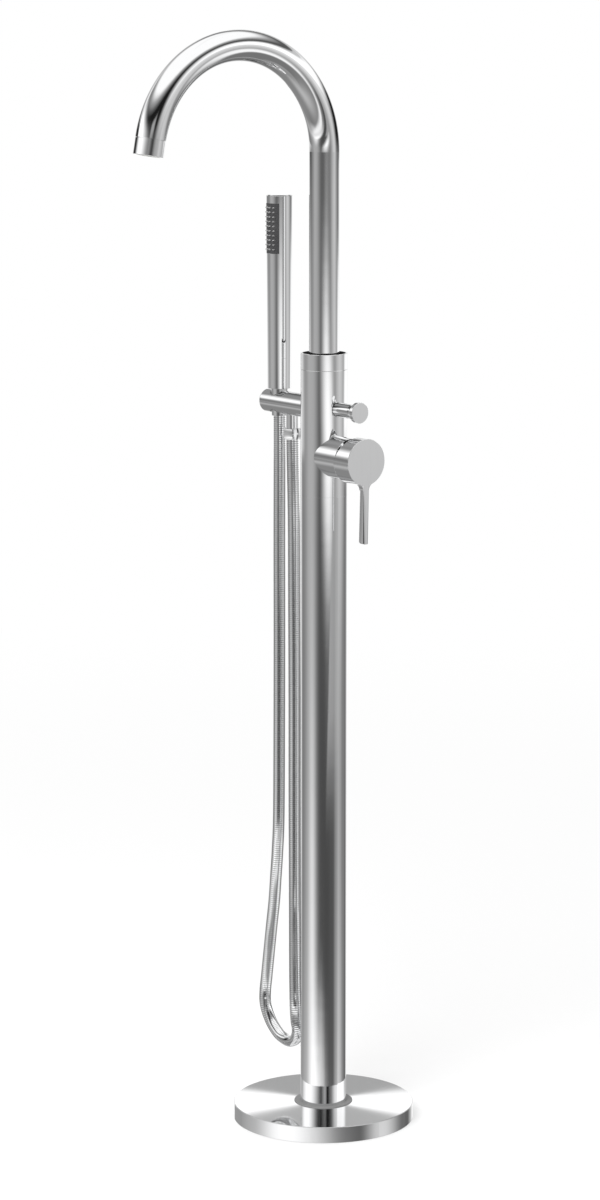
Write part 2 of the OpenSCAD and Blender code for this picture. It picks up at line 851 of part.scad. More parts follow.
module lever_grub_screw() {
    length = hub_r - spindle_sq / 2 - seat_gap;
    color(steel) at_grub() translate([0, 0, spindle_sq / 2 + fit_gap]) difference() {
        cylinder(r = grub_r, h = length);
        translate([0, 0, length]) key_socket(grub_r, grub_r);
    }
}

module diverter_gland() {
    color(brass) along_x(gland_x, diverter_z)
        tube(valve_r - fit_gap, spindle_r + run_gap, gland_t);
}

module diverter_knob() {
    stem_x = gland_end + seat_gap;
    flare_x = knob_reach - knob_rim - knob_flare;
    step = knob_r - stem_r;
    flare_shares = [[0, 0], [0.4, 0.07], [0.65, 0.2], [0.85, 0.5], [1, 1]];
    color(chrome) along_x(stem_x, diverter_z) difference() {
        rotate_extrude() polygon(concat(
            [[0, 0], [stem_r, 0]],
            [for (s = flare_shares) [stem_r + s[1] * step, flare_x - stem_x + s[0] * knob_flare]],
            [[knob_r, knob_reach - stem_x - seam_chamfer], [knob_r - seam_chamfer, knob_reach - stem_x],
                [0, knob_reach - stem_x]]));
        translate([0, 0, -over]) cylinder(r = spindle_r + fit_gap, h = knob_seat + over);
    }
}

module diverter_spindle() {
    color(brass) {
        along_x(piston_x + piston_t, diverter_z)
            cylinder(r = spindle_r, h = gland_end + knob_seat - piston_x - piston_t);
        along_x(piston_x - seat_gap, diverter_z)
            cylinder(r = piston_core, h = piston_t + seat_gap + over);
    }
}

module diverter_piston() {
    color(black_plastic) along_x(piston_x, diverter_z) difference() {
        tube(piston_r, piston_core + fit_gap, piston_t - fit_gap);
        translate([0, 0, piston_t / 2])
            groove(piston_r - seal_d, piston_r + over, seal_d);
    }
}

module diverter_seal() {
    color(black_rubber) along_x(piston_x + piston_t / 2, diverter_z)
        oring(piston_r - seal_d, seal_d);
}

// Point and outward normals along the return spring, turn by turn
function spring_angle(i) = 360 * i / spring_steps;

module diverter_spring() {
    count = spring_turns * spring_steps;
    low = piston_x + piston_t + spring_wire + seat_gap;
    length = gland_x - spring_wire - seat_gap - low;
    points = [for (i = [0 : count], k = [0 : spring_sides - 1])
        let (a = spring_angle(i), b = 360 * k / spring_sides, r = spring_r + spring_wire * cos(b))
            [low + length * i / count + spring_wire * sin(b), r * cos(a), r * sin(a)]];
    sides = [for (i = [0 : count - 1], k = [0 : spring_sides - 1])
        let (a = i * spring_sides + k, b = i * spring_sides + (k + 1) % spring_sides)
            [a, b, b + spring_sides, a + spring_sides]];
    first = [for (k = [0 : spring_sides - 1]) spring_sides - 1 - k];
    last = [for (k = [0 : spring_sides - 1]) count * spring_sides + k];
    color(steel) translate([0, 0, diverter_z])
        polyhedron(points = points, faces = concat([first], sides, [last]), convexity = 8);
}

module handset_arm() {
    root = sqrt(pow(column_r, 2) - pow(arm_r, 2));
    color(chrome) difference() {
        translate([-root, 0, arm_z]) rotate([0, -90, 0])
            rotate_extrude() edge_section(arm_r, arm_reach - root, arm_edge);
        translate([0, 0, arm_z - column_r]) cylinder(r = column_r + fit_gap, h = 2 * column_r);
        translate([-hand_x, 0, arm_z - arm_r - over])
            cylinder(r = liner_r + fit_gap, h = arm_d + 2 * over);
        translate([-outlet_x, 0, arm_z - arm_r - over])
            cylinder(r = nipple_spigot + fit_gap, h = nipple_seat + over);
        translate([-outlet_x, 0, arm_z - arm_r]) cylinder(r = nipple_bore, h = arm_r);
        along_x(-outlet_x, arm_z) cylinder(r = arm_water, h = outlet_x);
    }
    color(chrome) along_x(-column_r - fit_gap, arm_z) difference() {
        tube(arm_spigot_r, arm_water, arm_spigot + fit_gap);
        translate([0, 0, arm_spigot / 2]) groove(arm_spigot_r - seal_d - fit_gap, arm_spigot_r + over, seal_d);
    }
}
liner_r = neck_top_r + seat_gap + liner_t;
nipple_spigot = nipple_r - nipple_step;

module arm_seal() {
    color(black_rubber) along_x(-column_r - fit_gap + arm_spigot / 2, arm_z)
        oring(arm_spigot_r - seal_d - 2 * fit_gap, seal_d);
}

// Tapered sleeve of the hose's end, grown by a clearance
module neck_taper(gap) {
    translate([-hand_x, 0, neck_low])
        cylinder(r1 = neck_low_r + gap, r2 = neck_top_r + gap, h = hand_z - neck_low, $fn = 96);
}

module holder_liner() {
    color(black_plastic) difference() {
        intersection() {
            translate([-hand_x, 0, arm_z - arm_r]) cylinder(r = liner_r, h = arm_d);
            translate([-hand_x, 0, arm_z]) rotate([0, 90, 0])
                cylinder(r = arm_r - fit_gap, h = arm_d, center = true);
        }
        neck_taper(seat_gap);
    }
}

module outlet_nipple() {
    thread_low = nut_low + nut_floor + washer_t;
    color(chrome) translate([-outlet_x, 0, 0]) difference() {
        union() {
            translate([0, 0, nut_top + seat_gap]) difference() {
                cylinder(r = nipple_r, h = arm_z - nut_top - seat_gap);
                translate([0, 0, arm_z - nut_top - seat_gap]) rotate([0, 90, 0])
                    cylinder(r = arm_r + fit_gap, h = arm_d, center = true);
            }
            translate([0, 0, thread_low]) cylinder(r = nipple_thread, h = nut_top - thread_low + over);
            translate([0, 0, arm_z - arm_r - over])
                cylinder(r = nipple_spigot, h = nipple_seat + over - seat_gap);
        }
        translate([0, 0, thread_low - over]) cylinder(r = nipple_bore, h = arm_d + nut_drop);
        translate([0, 0, thread_low - over]) cylinder(r = valve_body_r + fit_gap, h = valve_l + over);
    }
}

module check_valve() {
    thread_low = nut_low + nut_floor + washer_t;
    poppet = valve_body_r / 2;
    color(white_plastic) translate([-outlet_x, 0, thread_low]) {
        tube(valve_body_r, poppet + nipple_step, valve_l - seat_gap);
        translate([0, 0, valve_l / 3]) cylinder(r1 = poppet, r2 = poppet / 2, h = valve_l / 3);
        for (a = [0, 60, 120]) rotate([0, 0, a])
            translate([-valve_body_r + nipple_step / 2, -nipple_step / 4, valve_l / 3])
                cube([2 * valve_body_r - nipple_step, nipple_step / 2, nipple_step]);
    }
}

module hose_washer() {
    color(black_rubber) translate([-outlet_x, 0, nut_low + nut_floor])
        tube(nipple_thread - fit_gap, fitting_bore / 2, washer_t - fit_gap);
}

module hose_nut() {
    corner = nut_af / sqrt(3);
    color(chrome) translate([-outlet_x, 0, nut_low]) difference() {
        intersection() {
            rotate([0, 0, nut_turn]) cylinder(r = corner, h = nut_h, $fn = 6);
            rotate_extrude() polygon([
                [0, 0], [corner - nut_chamfer, 0], [corner, nut_chamfer], [corner, nut_h - nut_chamfer],
                [corner - nut_chamfer, nut_h], [0, nut_h]]);
        }
        translate([0, 0, nut_floor]) cylinder(r = nipple_thread + fit_gap, h = nut_h);
        translate([0, 0, -over]) cylinder(d = fitting_bore, h = nut_h);
    }
}

// Catmull-Rom point between b and c
function spline(a, b, c, d, t) =
    0.5 * (2 * b + (c - a) * t + (2 * a - 5 * b + 4 * c - d) * t * t
        + (3 * b - a - 3 * c + d) * t * t * t);
function route_point(i) =
    hose_route[max(0, min(len(hose_route) - 1, i))];
hose_line = [
    for (i = [0 : len(hose_route) - 2])
        let (n = ceil(norm(route_point(i + 1) - route_point(i)) / hose_step))
            for (k = [0 : n - 1])
                spline(route_point(i - 1), route_point(i), route_point(i + 1), route_point(i + 2), k / n),
    route_point(len(hose_route) - 1)];

module shower_hose() {
    last = len(hose_line) - 1;
    points = [for (i = [0 : last])
        let (
            ahead = hose_line[min(last, i + 1)],
            behind = hose_line[max(0, i - 1)],
            end = i == 0 || i == last,
            way = end ? [0, 0, i == 0 ? -1 : 1] : (ahead - behind) / norm(ahead - behind),
            across = cross([0, 1, 0], way) / norm(cross([0, 1, 0], way)),
            beside = cross(way, across))
        for (k = [0 : hose_sides - 1])
            let (a = 360 * k / hose_sides)
                hose_line[i] + hose_r * cos(a) * across + hose_r * sin(a) * beside];
    walls = [for (i = [0 : last - 1], k = [0 : hose_sides - 1])
        let (a = i * hose_sides + k, b = i * hose_sides + (k + 1) % hose_sides)
            [a, b, b + hose_sides, a + hose_sides]];
    start_cap = [for (k = [0 : hose_sides - 1]) hose_sides - 1 - k];
    end_cap = [for (k = [0 : hose_sides - 1]) last * hose_sides + k];
    color(chrome) polyhedron(points = points, faces = concat([start_cap], walls, [end_cap]), convexity = 8);
}

// The spout's hoop, as a rod of the given radius from its lower end to past its outlet
module hoop(r, low, extra) {
    translate([0, 0, low]) cylinder(r = r, h = bend_z - low);
    translate([0, -bend_r, bend_z]) rotate([90, 0, 90])
        rotate_extrude(angle = bend_angle + extra) translate([bend_r, 0]) circle(r);
}

// Places its children at the outlet, with +Z along the water's way out
module at_outlet() {
    translate([0, -bend_r, bend_z]) rotate([90, 0, 90]) rotate([0, 0, bend_angle])
        translate([bend_r, 0, 0]) rotate([-90, 0, 0]) children();
}

module spout_tube() {
    color(chrome) difference() {
        hoop(spout_r, spout_low, 0);
        hoop(spout_bore, spout_low - over, over);
    }
}

module spout_tail() {
    color(brass) difference() {
        union() {
            translate([0, 0, journal_low]) cylinder(r = journal_r, h = journal_l + over);
            translate([0, 0, tail_flange_z]) cylinder(r = spout_r, h = tail_flange_t);
            translate([0, 0, tail_flange_z]) cylinder(r = spout_bore - fit_gap, h = tail_neck);
        }
        translate([0, 0, journal_low - over]) cylinder(r = tail_bore, h = journal_l + tail_neck + 2 * over);
        translate([0, 0, retainer_z]) groove(journal_r - retainer_bite, journal_r + over, 2 * retainer_r);
        for (drop = spout_seal_drops)
            translate([0, 0, retainer_z - drop])
                groove(journal_r - seal_d - fit_gap, journal_r + over, seal_d);
    }
}

module spout_seals() {
    color(black_rubber) for (drop = spout_seal_drops)
        translate([0, 0, retainer_z - drop]) oring(journal_r - seal_d - fit_gap, seal_d);
}

// Aerator, stacked from the outlet collar's shoulder
aerator_neck = 6;
shoulder_bore = 12;
aerator_shoulder = 1.7;
aerator_bore = 13.5;
aerator_lip = 0.7;
aerator_lip_h = 0.75;
screen_t = 0.6;
screen_share = 0.62;
washer_z = head_seam + aerator_shoulder;
screen_z = washer_z + washer_t + fit_gap;
insert_z = screen_z + screen_t + fit_gap;

module aerator_housing() {
    color(chrome) at_outlet() difference() {
        union() {
            translate([0, 0, -aerator_neck])
                cylinder(r = spout_bore - fit_gap, h = aerator_neck + head_seam + over);
            translate([0, 0, head_seam]) chamfered(outlet_d / 2, outlet_l - head_seam, seam_chamfer);
        }
        translate([0, 0, -aerator_neck - over]) cylinder(r = shoulder_bore, h = outlet_l);
        translate([0, 0, washer_z])
            cylinder(r = aerator_bore, h = outlet_l - washer_z - aerator_lip_h);
        cylinder(r = aerator_bore - aerator_lip, h = outlet_l + over);
    }
}

module aerator_washer() {
    color(black_rubber) at_outlet() translate([0, 0, washer_z])
        tube(aerator_bore - fit_gap, shoulder_bore - aerator_shoulder, washer_t);
}

// Hexagonal cells in rings around the middle one, as holes of the given length
module cells(af, length) {
    pitch = cell_af + cell_wall;
    for (i = [-cell_rings : cell_rings], j = [-cell_rings : cell_rings])
        if (abs(i + j) <= cell_rings)
            translate([pitch * (i + j / 2), pitch * j * sin(60), -over])
                rotate([0, 0, 30]) cylinder(r = af / sqrt(3), h = length + 2 * over, $fn = 6);
}

module aerator_screen() {
    color(steel) at_outlet() translate([0, 0, screen_z]) difference() {
        cylinder(r = aerator_bore - fit_gap, h = screen_t);
        cells(cell_af * screen_share, screen_t);
    }
}

module aerator_insert() {
    length = outlet_l - aerator_lip_h - insert_z - fit_gap;
    color(white_plastic) at_outlet() translate([0, 0, insert_z]) difference() {
        cylinder(r = aerator_bore - fit_gap, h = length);
        cells(cell_af, length);
    }
}

// Outer radius of the hand shower at a height
function hand_r(z) = hand_low_r + (hand_top_r - hand_low_r) * (z - hand_z) / hand_l;

// Places its children on the hand shower's axis, with +X facing the middle of the spray panel
module at_hand() {
    translate([-hand_x, 0, 0]) rotate([0, 0, spray_turn - 90]) children();
}

// Upright shell of a given angle around the hand shower's axis, symmetrical about +X
module sector(inner, outer, low, high, angle) {
    translate([0, 0, low]) rotate([0, 0, -angle / 2])
        rotate_extrude(angle = angle) translate([inner, 0]) square([outer - inner, high - low]);
}

module handset_shell() {
    color(chrome) at_hand() difference() {
        rotate_extrude() polygon([
            [0, hand_z], [hand_low_r - hand_edge, hand_z], [hand_low_r, hand_z + hand_edge],
            [hand_top_r, hand_top - hand_edge], [hand_top_r - hand_edge, hand_top], [0, hand_top]]);
        rotate_extrude() polygon([
            [0, hand_z - over], [hand_low_r - hand_wall, hand_z - over],
            [hand_low_r - hand_wall, tail_z + tail_l + seat_gap],
            [hand_r(panel_low) - hand_wall, panel_low],
            [hand_r(panel_low) - hand_wall, hand_top + over], [0, hand_top + over]]);
        sector(hand_low_r / 2, 2 * hand_top_r, panel_low, panel_top, panel_angle);
    }
}

module handset_cap() {
    r = hand_r(panel_low) - hand_wall - fit_gap;
    top = hand_top - cap_recess;
    ball = (pow(r, 2) + pow(cap_dish, 2)) / (2 * cap_dish);
    color(black_plastic) translate([-hand_x, 0, 0]) difference() {
        translate([0, 0, top - cap_t]) cylinder(r = r, h = cap_t);
        translate([0, 0, top + ball - cap_dish]) sphere(ball, $fn = 128);
    }
}

// Middle of each nozzle, as [turn around the hand shower, height]
nozzle_mid = (panel_low + panel_top) / 2;
nozzle_places = [for (c = [0 : nozzle_cols - 1], r = [0 : nozzle_rows - 1])
    [(c - (nozzle_cols - 1) / 2) * nozzle_step, nozzle_mid + (r - (nozzle_rows - 1) / 2) * nozzle_pitch]];

panel_out = hand_r(panel_low) - panel_recess;
panel_in = hand_r(panel_low) - hand_wall - fit_gap;
mat_out = panel_in - panel_lip - fit_gap;
mat_in = mat_out - mat_t;
play_angle = 2 * panel_play / hand_top_r * 180 / PI;
lip_angle = 2 * panel_lip_h / hand_top_r * 180 / PI;

module spray_plate() {
    color(dark_plastic) at_hand() difference() {
        union() {
            sector(panel_in - fit_gap, panel_out, panel_low + panel_play, panel_top - panel_play,
                panel_angle - play_angle);
            sector(panel_in - panel_lip, panel_in, panel_low - panel_lip_h, panel_top + panel_lip_h,
                panel_angle + lip_angle);
        }
        for (p = nozzle_places)
            rotate([0, 0, p[0]]) along_x(mat_in, p[1])
                cylinder(d = nozzle_d + 2 * nozzle_play, h = hand_top_r, $fn = 20);
    }
}

// One tapered silicone nozzle, along +X
module nozzle(x, z) {
    along_x(x, z) cylinder(d1 = nozzle_d, d2 = nozzle_d * nozzle_tip_share,
        h = panel_out + nozzle_out - x, $fn = 16);
}

module nozzle_mat() {
    color(silicone) at_hand() {
        sector(mat_in, mat_out, panel_low - mat_lip_h, panel_top + mat_lip_h, panel_angle + lip_angle);
        for (p = nozzle_places) rotate([0, 0, p[0]]) nozzle((mat_in + mat_out) / 2, p[1]);
    }
}

module handset_waterway() {
    head_r = mat_in - water_head_gap;
    low = tail_z + tail_thread_l + washer_t + fit_gap;
    head_low = panel_low - mat_lip_h;
    head_top = panel_top + mat_lip_h;
    color(white_plastic) at_hand() difference() {
        union() {
            translate([0, 0, low + water_wall]) cylinder(r = water_r, h = head_low - low);
            translate([0, 0, head_low]) cylinder(r = head_r, h = head_top - head_low);
        }
        translate([0, 0, low]) cylinder(r = water_r - water_wall, h = head_top - low - head_water_wall);
        sector(0, 2 * head_r, panel_low, panel_top, panel_angle - lip_angle);
    }
}

module handset_tail() {
    r = hand_low_r - hand_wall - fit_gap;
    color(brass) translate([-hand_x, 0, tail_z]) difference() {
        cylinder(r = r, h = tail_l);
        translate([0, 0, -over]) cylinder(r = tail_thread + fit_gap, h = tail_thread_l + washer_t + over);
        cylinder(r = tail_inner, h = tail_l + over);
        translate([0, 0, tail_thread_l + washer_t + water_wall])
            cylinder(r = water_r + fit_gap, h = tail_l);
    }
}

module tail_seal() {
    color(black_rubber) translate([-hand_x, 0, tail_z + tail_l + fit_gap + seal_d / 2])
        oring(water_r, seal_d);
}

module cone_washer() {
    color(black_rubber) translate([-hand_x, 0, tail_z + tail_thread_l])
        tube(tail_thread - fit_gap, fitting_bore / 2, washer_t - fit_gap);
}

module hose_cone() {
    color(chrome) difference() {
        union() {
            neck_taper(0);
            translate([-hand_x, 0, hand_z]) cylinder(r = neck_top_r, h = tail_rise);
            translate([-hand_x, 0, hand_z]) cylinder(r = tail_thread, h = tail_rise + tail_thread_l - fit_gap);
        }
        translate([-hand_x, 0, neck_low - over]) cylinder(d = fitting_bore, h = hand_l);
    }
}

base_cover();
column_foot_ring();
floor_flange();
inlet_block();
column_plug();
floor_gasket();
column_tube();
column_screws();
hot_riser();
cold_riser();
riser_seals();
mixer_body();
body_joint_seal();
top_collar();
spout_bush();
spout_retaining_screw();
cartridge_housing();
cartridge_base();
cartridge_seals();
fixed_disc();
cartridge_nut();
diverter_gland();
handset_arm();
arm_seal();
holder_liner();
outlet_nipple();
check_valve();
hose_washer();
hose_nut();
shower_hose();
spout_tube();
spout_tail();
spout_seals();
aerator_housing();
aerator_washer();
aerator_screen();
aerator_insert();
spindle_holder();
spindle_pin();
disc_carrier();
moving_disc();
lever_handle();
lever_spindle();
lever_grub_screw();
diverter_knob();
diverter_spindle();
diverter_piston();
diverter_seal();
diverter_spring();
handset_shell();
handset_cap();
spray_plate();
nozzle_mat();
handset_waterway();
handset_tail();
tail_seal();
cone_washer();
hose_cone();
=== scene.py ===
"""Floor standing bath filler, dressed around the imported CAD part.

It gives every CAD node its finish, makes the wound shower hose, the hand shower's shell and
nozzle bores, the lever and the diverter's spring, and sets up the camera and the studio.
Metres, in the CAD frame: +Z up, the spout toward -Y, the lever facing +X, the hose on -X.
"""

from __future__ import annotations

import json
import logging
import math
from collections.abc import Callable
from dataclasses import dataclass, field
from enum import Enum
from typing import Any

import bpy
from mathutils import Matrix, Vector

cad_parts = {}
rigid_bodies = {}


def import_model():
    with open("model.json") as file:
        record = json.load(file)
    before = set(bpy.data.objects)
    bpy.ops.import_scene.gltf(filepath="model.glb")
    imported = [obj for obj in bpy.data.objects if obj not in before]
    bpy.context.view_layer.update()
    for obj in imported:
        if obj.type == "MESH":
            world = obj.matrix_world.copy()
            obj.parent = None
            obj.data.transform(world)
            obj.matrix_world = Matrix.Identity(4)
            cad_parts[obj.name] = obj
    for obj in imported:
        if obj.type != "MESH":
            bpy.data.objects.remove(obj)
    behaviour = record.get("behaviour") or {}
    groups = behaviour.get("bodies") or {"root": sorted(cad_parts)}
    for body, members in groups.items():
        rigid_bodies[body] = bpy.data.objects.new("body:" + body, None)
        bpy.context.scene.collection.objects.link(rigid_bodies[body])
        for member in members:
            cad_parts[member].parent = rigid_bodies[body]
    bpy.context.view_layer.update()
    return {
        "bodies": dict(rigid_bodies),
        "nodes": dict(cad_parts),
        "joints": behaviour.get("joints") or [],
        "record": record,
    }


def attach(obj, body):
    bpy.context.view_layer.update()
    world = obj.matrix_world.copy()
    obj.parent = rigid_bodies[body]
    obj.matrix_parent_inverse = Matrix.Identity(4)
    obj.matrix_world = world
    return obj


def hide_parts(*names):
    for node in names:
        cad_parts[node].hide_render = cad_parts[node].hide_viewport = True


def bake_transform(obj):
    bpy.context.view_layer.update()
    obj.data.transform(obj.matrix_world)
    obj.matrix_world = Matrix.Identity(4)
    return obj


log = logging.getLogger("bath_filler")

Point = tuple[float, float, float]
Pair = tuple[float, float]
Face = bpy.types.MeshPolygon

MM = 0.001
BRASS = (0.72, 0.55, 0.27)
GROOVE = "groove"


class Slot(Enum):
    """Material slots of the part's record."""

    CHROME = "chrome"
    FOOT_RING = "foot_ring"
    BRASS = "brass"
    STEEL = "steel"
    HOSE_STEEL = "hose_steel"
    BLACK_RUBBER = "black_rubber"
    BLACK_PLASTIC = "black_plastic"
    WHITE_PLASTIC = "white_plastic"
    SPRAY_PLATE = "spray_plate"
    SILICONE = "silicone"
    CERAMIC = "ceramic"


# ---------------------------------------------------------------- shader maths


class Value:
    """A shader socket that Python's operators work on."""

    def __init__(self, graph: Graph, socket: bpy.types.NodeSocket) -> None:
        """Wraps an output socket of a node in the graph."""
        self.graph = graph
        self.socket = socket

    def maths(self, operation: str, *others: Value | float, swapped: bool = False) -> Value:
        """Adds a Math node.

        Args:
            operation: The node's operation.
            others: The other operands.
            swapped: Whether this value is the second operand.

        Returns:
            The node's result.
        """
        operands = [self, *others]
        if swapped:
            operands.reverse()
        inputs = dict(enumerate(operands))
        return self.graph.node("ShaderNodeMath", {"operation": operation}, inputs)

    def __add__(self, other: Value | float) -> Value:
        """Sum."""
        return self.maths("ADD", other)

    def __radd__(self, other: float) -> Value:
        """Sum with a number first."""
        return self.maths("ADD", other, swapped=True)

    def __sub__(self, other: Value | float) -> Value:
        """Difference."""
        return self.maths("SUBTRACT", other)

    def __rsub__(self, other: float) -> Value:
        """Difference from a number."""
        return self.maths("SUBTRACT", other, swapped=True)

    def __mul__(self, other: Value | float) -> Value:
        """Product."""
        return self.maths("MULTIPLY", other)

    def __rmul__(self, other: float) -> Value:
        """Product with a number first."""
        return self.maths("MULTIPLY", other, swapped=True)

    def __pow__(self, other: Value | float) -> Value:
        """Power."""
        return self.maths("POWER", other)

    def sine(self) -> Value:
        """Sine."""
        return self.maths("SINE")

    def absolute(self) -> Value:
        """Size without sign."""
        return self.maths("ABSOLUTE")

    def step(self, start: float, end: float) -> Value:
        """Smooth step between two values.

        Args:
            start: Where the result is 0.
            end: Where the result is 1. It may lie below start.

        Returns:
            The stepped value.
        """
        ends = {"Value": self, "From Min": start, "From Max": end}
        return self.graph.node(
            "ShaderNodeMapRange", {"interpolation_type": "SMOOTHSTEP"}, ends, "Result"
        )


def blend(low: Value | float, high: Value | float, share: Value | float) -> Value:
    """Blends linearly from low, at a share of 0, to high, at a share of 1."""
    return low + (high - low) * share


class Graph:
    """The node tree of one material or world."""

    def __init__(self, tree: bpy.types.NodeTree) -> None:
        """Empties the tree that it builds in."""
        self.tree = tree
        tree.nodes.clear()

    def node(
        self,
        kind: str,
        settings: dict[str, Any] | None = None,
        inputs: dict[str | int, Any] | None = None,
        output: str | int = 0,
    ) -> Value:
        """Adds a node.

        Args:
            kind: The node's type.
            settings: The node's own settings.
            inputs: Values or links by the socket's name or number.
            output: The socket that is wanted.

        Returns:
            The wanted output.
        """
        made = self.tree.nodes.new(kind)
        for name, value in (settings or {}).items():
            setattr(made, name, value)
        for name, value in (inputs or {}).items():
            if isinstance(value, Value):
                self.tree.links.new(value.socket, made.inputs[name])
            else:
                made.inputs[name].default_value = value
        outlet = made.outputs[output] if len(made.outputs) else None
        return Value(self, outlet)

    def place(self) -> Value:
        """Object coordinates."""
        return self.node("ShaderNodeTexCoord", output="Object")

    def axes(self, vector: Value) -> list[Value]:
        """The three parts of a vector."""
        split = self.node("ShaderNodeSeparateXYZ", inputs={0: vector})
        return [Value(self, socket) for socket in split.socket.node.outputs]

    def noise(self, scale: float, detail: float = 2.0, stretch: Point = (1, 1, 1)) -> Value:
        """Noise on Object coordinates.

        Args:
            scale: Cells in a metre.
            detail: Octaves.
            stretch: How much denser the noise is along each axis.

        Returns:
            The noise, about 0.5.
        """
        placed = self.node("ShaderNodeMapping", {}, {"Vector": self.place(), "Scale": stretch})
        inputs = {"Vector": placed, "Scale": scale, "Detail": detail}
        return self.node("ShaderNodeTexNoise", {}, inputs, "Fac")

    def tint(self, share: Value, low: Point, high: Point) -> Value:
        """Blends from a first to a second colour, by the second one's share."""
        inputs = {0: share, 6: (*low, 1.0), 7: (*high, 1.0)}
        return self.node("ShaderNodeMix", {"data_type": "RGBA"}, inputs, 2)

    def bump(self, height: Value, depth: float, under: Value | None = None) -> Value:
        """Turns a height into a normal.

        Args:
            height: The height, as a share of the depth.
            depth: The depth in metres.
            under: A normal that this bump lies on.

        Returns:
            The normal.
        """
        inputs: dict[str | int, Any] = {"Height": height, "Distance": depth, "Strength": 1.0}
        if under is not None:
            inputs["Normal"] = under
        return self.node("ShaderNodeBump", {}, inputs, "Normal")


# -------------------------------------------------------------------- finishes


@dataclass(frozen=True)
class Finish:
    """A surface finish, built as one material.

    In each finish, cells are a noise's cells in a metre, a span is the part of a noise that
    becomes a mask, and shine is how much a pattern changes the roughness.
    """

    name: str
    colour: Point
    roughness: float

    def build(self) -> bpy.types.Material:
        """Makes the material.

        Returns:
            The material.
        """
        material = bpy.data.materials.new(self.name)
        material.use_nodes = True
        graph = Graph(material.node_tree)
        shader = graph.node("ShaderNodeBsdfPrincipled", {}, self.inputs(graph), "BSDF")
        graph.node("ShaderNodeOutputMaterial", {}, {"Surface": shader})
        material.diffuse_color = (*self.colour, 1.0)
        return material

    def shade(self, factor: float) -> Point:
        """The finish's colour, made darker or lighter by a factor."""
        return tuple(min(1.0, part * factor) for part in self.colour)

    def inputs(self, graph: Graph) -> dict[str | int, Any]:
        """The Principled shader's inputs: values and links by the socket's name."""
        raise NotImplementedError


@dataclass(frozen=True)
class PolishedChrome(Finish):
    """Mirror chrome plate with the faint unevenness of polished brass under it."""

    colour: Point = (0.918, 0.92, 0.925)
    roughness: float = 0.035
    dimmed: float = 0.965
    haze: float = 0.03
    haze_cells: float = 9.0
    haze_span: Pair = (0.42, 0.7)
    haze_share: float = 0.6
    wipe_cells: float = 260.0
    wipe_stretch: Point = (1.0, 1.0, 0.12)
    wipe_span: Pair = (0.5, 0.75)
    wave_cells: float = 38.0
    wave_depth: float = 15e-6

    def waves(self, graph: Graph, under: Value | None = None) -> Value:
        """The normal of the plate's faint waves, which lie on the normal under them."""
        return graph.bump(graph.noise(self.wave_cells, 1.0), self.wave_depth, under)

    def inputs(self, graph: Graph) -> dict[str | int, Any]:
        """The Principled shader's inputs, as in Finish."""
        haze = graph.noise(self.haze_cells, 3.0).step(*self.haze_span)
        wipe = graph.noise(self.wipe_cells, 2.0, self.wipe_stretch).step(*self.wipe_span)
        marks = blend(wipe, haze, self.haze_share)
        return {
            "Base Color": graph.tint(marks, self.colour, self.shade(self.dimmed)),
            "Metallic": 1.0,
            "Roughness": self.roughness + marks * self.haze,
            "Normal": self.waves(graph),
        }


@dataclass(frozen=True)
class EdgedChrome(PolishedChrome):
    """Chrome on pieces whose edges were rounded by the polishing wheel."""

    edge_r: float = 0.4 * MM
    samples: int = 6

    def inputs(self, graph: Graph) -> dict[str | int, Any]:
        """The Principled shader's inputs, as in Finish."""
        made = super().inputs(graph)
        radius = {"Radius": self.edge_r}
        edges = graph.node("ShaderNodeBevel", {"samples": self.samples}, radius, "Normal")
        made["Normal"] = self.waves(graph, edges)
        return made


@dataclass(frozen=True)
class CrownedChrome(PolishedChrome):
    """Chrome of the hose nut, whose flats are slightly crowned by the polishing."""

    axis_x: float = -56.5 * MM
    middle: float = 764.0 * MM
    crown: float = 14.0

    def inputs(self, graph: Graph) -> dict[str | int, Any]:
        """The Principled shader's inputs, as in Finish."""
        made = super().inputs(graph)
        x, y, z = graph.axes(graph.place())
        aside = x - self.axis_x
        above = z - self.middle
        swell = (aside * aside + y * y + above * above) * -self.crown
        made["Normal"] = graph.bump(swell, 1.0)
        return made


@dataclass(frozen=True)
class SpunChrome(PolishedChrome):
    """Chrome of a spun cover, whose top falls slightly toward its rim."""

    slope_deg: float = 1.4
    top: float = 17.7 * MM
    edge: float = 0.3 * MM

    def inputs(self, graph: Graph) -> dict[str | int, Any]:
        """The Principled shader's inputs, as in Finish."""
        made = super().inputs(graph)
        x, y, z = graph.axes(graph.place())
        radius = (x * x + y * y) ** 0.5
        on_top = z.step(self.top - self.edge, self.top)
        fall = radius * -math.tan(math.radians(self.slope_deg)) * on_top
        made["Normal"] = graph.bump(fall, 1.0)
        return made


@dataclass(frozen=True)
class ShadedBoreChrome(PolishedChrome):
    """Chrome of a tube that is open at its top, whose bore is painted with shade: coloured near
    black, matt and not metallic.
    """

    bore_r: float = 24.9 * MM
    rim: float = 857.6 * MM
    axis_x: float = 0.0
    side_fade: float = 0.2 * MM
    rim_fade: float = 0.3 * MM
    bore_shade_colour: Point = (0.02, 0.02, 0.02)
    bore_roughness: float = 0.6

    def inputs(self, graph: Graph) -> dict[str | int, Any]:
        """The Principled shader's inputs, as in Finish."""
        made = super().inputs(graph)
        x, y, z = graph.axes(graph.place())
        aside = x - self.axis_x
        radius = (aside * aside + y * y) ** 0.5
        # Painted shade: inside the bore, below the rim, the colour turns near black, matt and not
        # metallic.
        within = radius.step(self.bore_r, self.bore_r - self.side_fade)
        inside = within * z.step(self.rim, self.rim - self.rim_fade)
        made["Base Color"] = graph.tint(inside, self.colour, self.bore_shade_colour)
        made["Roughness"] = blend(made["Roughness"], self.bore_roughness, inside)
        made["Metallic"] = 1.0 - inside
        return made


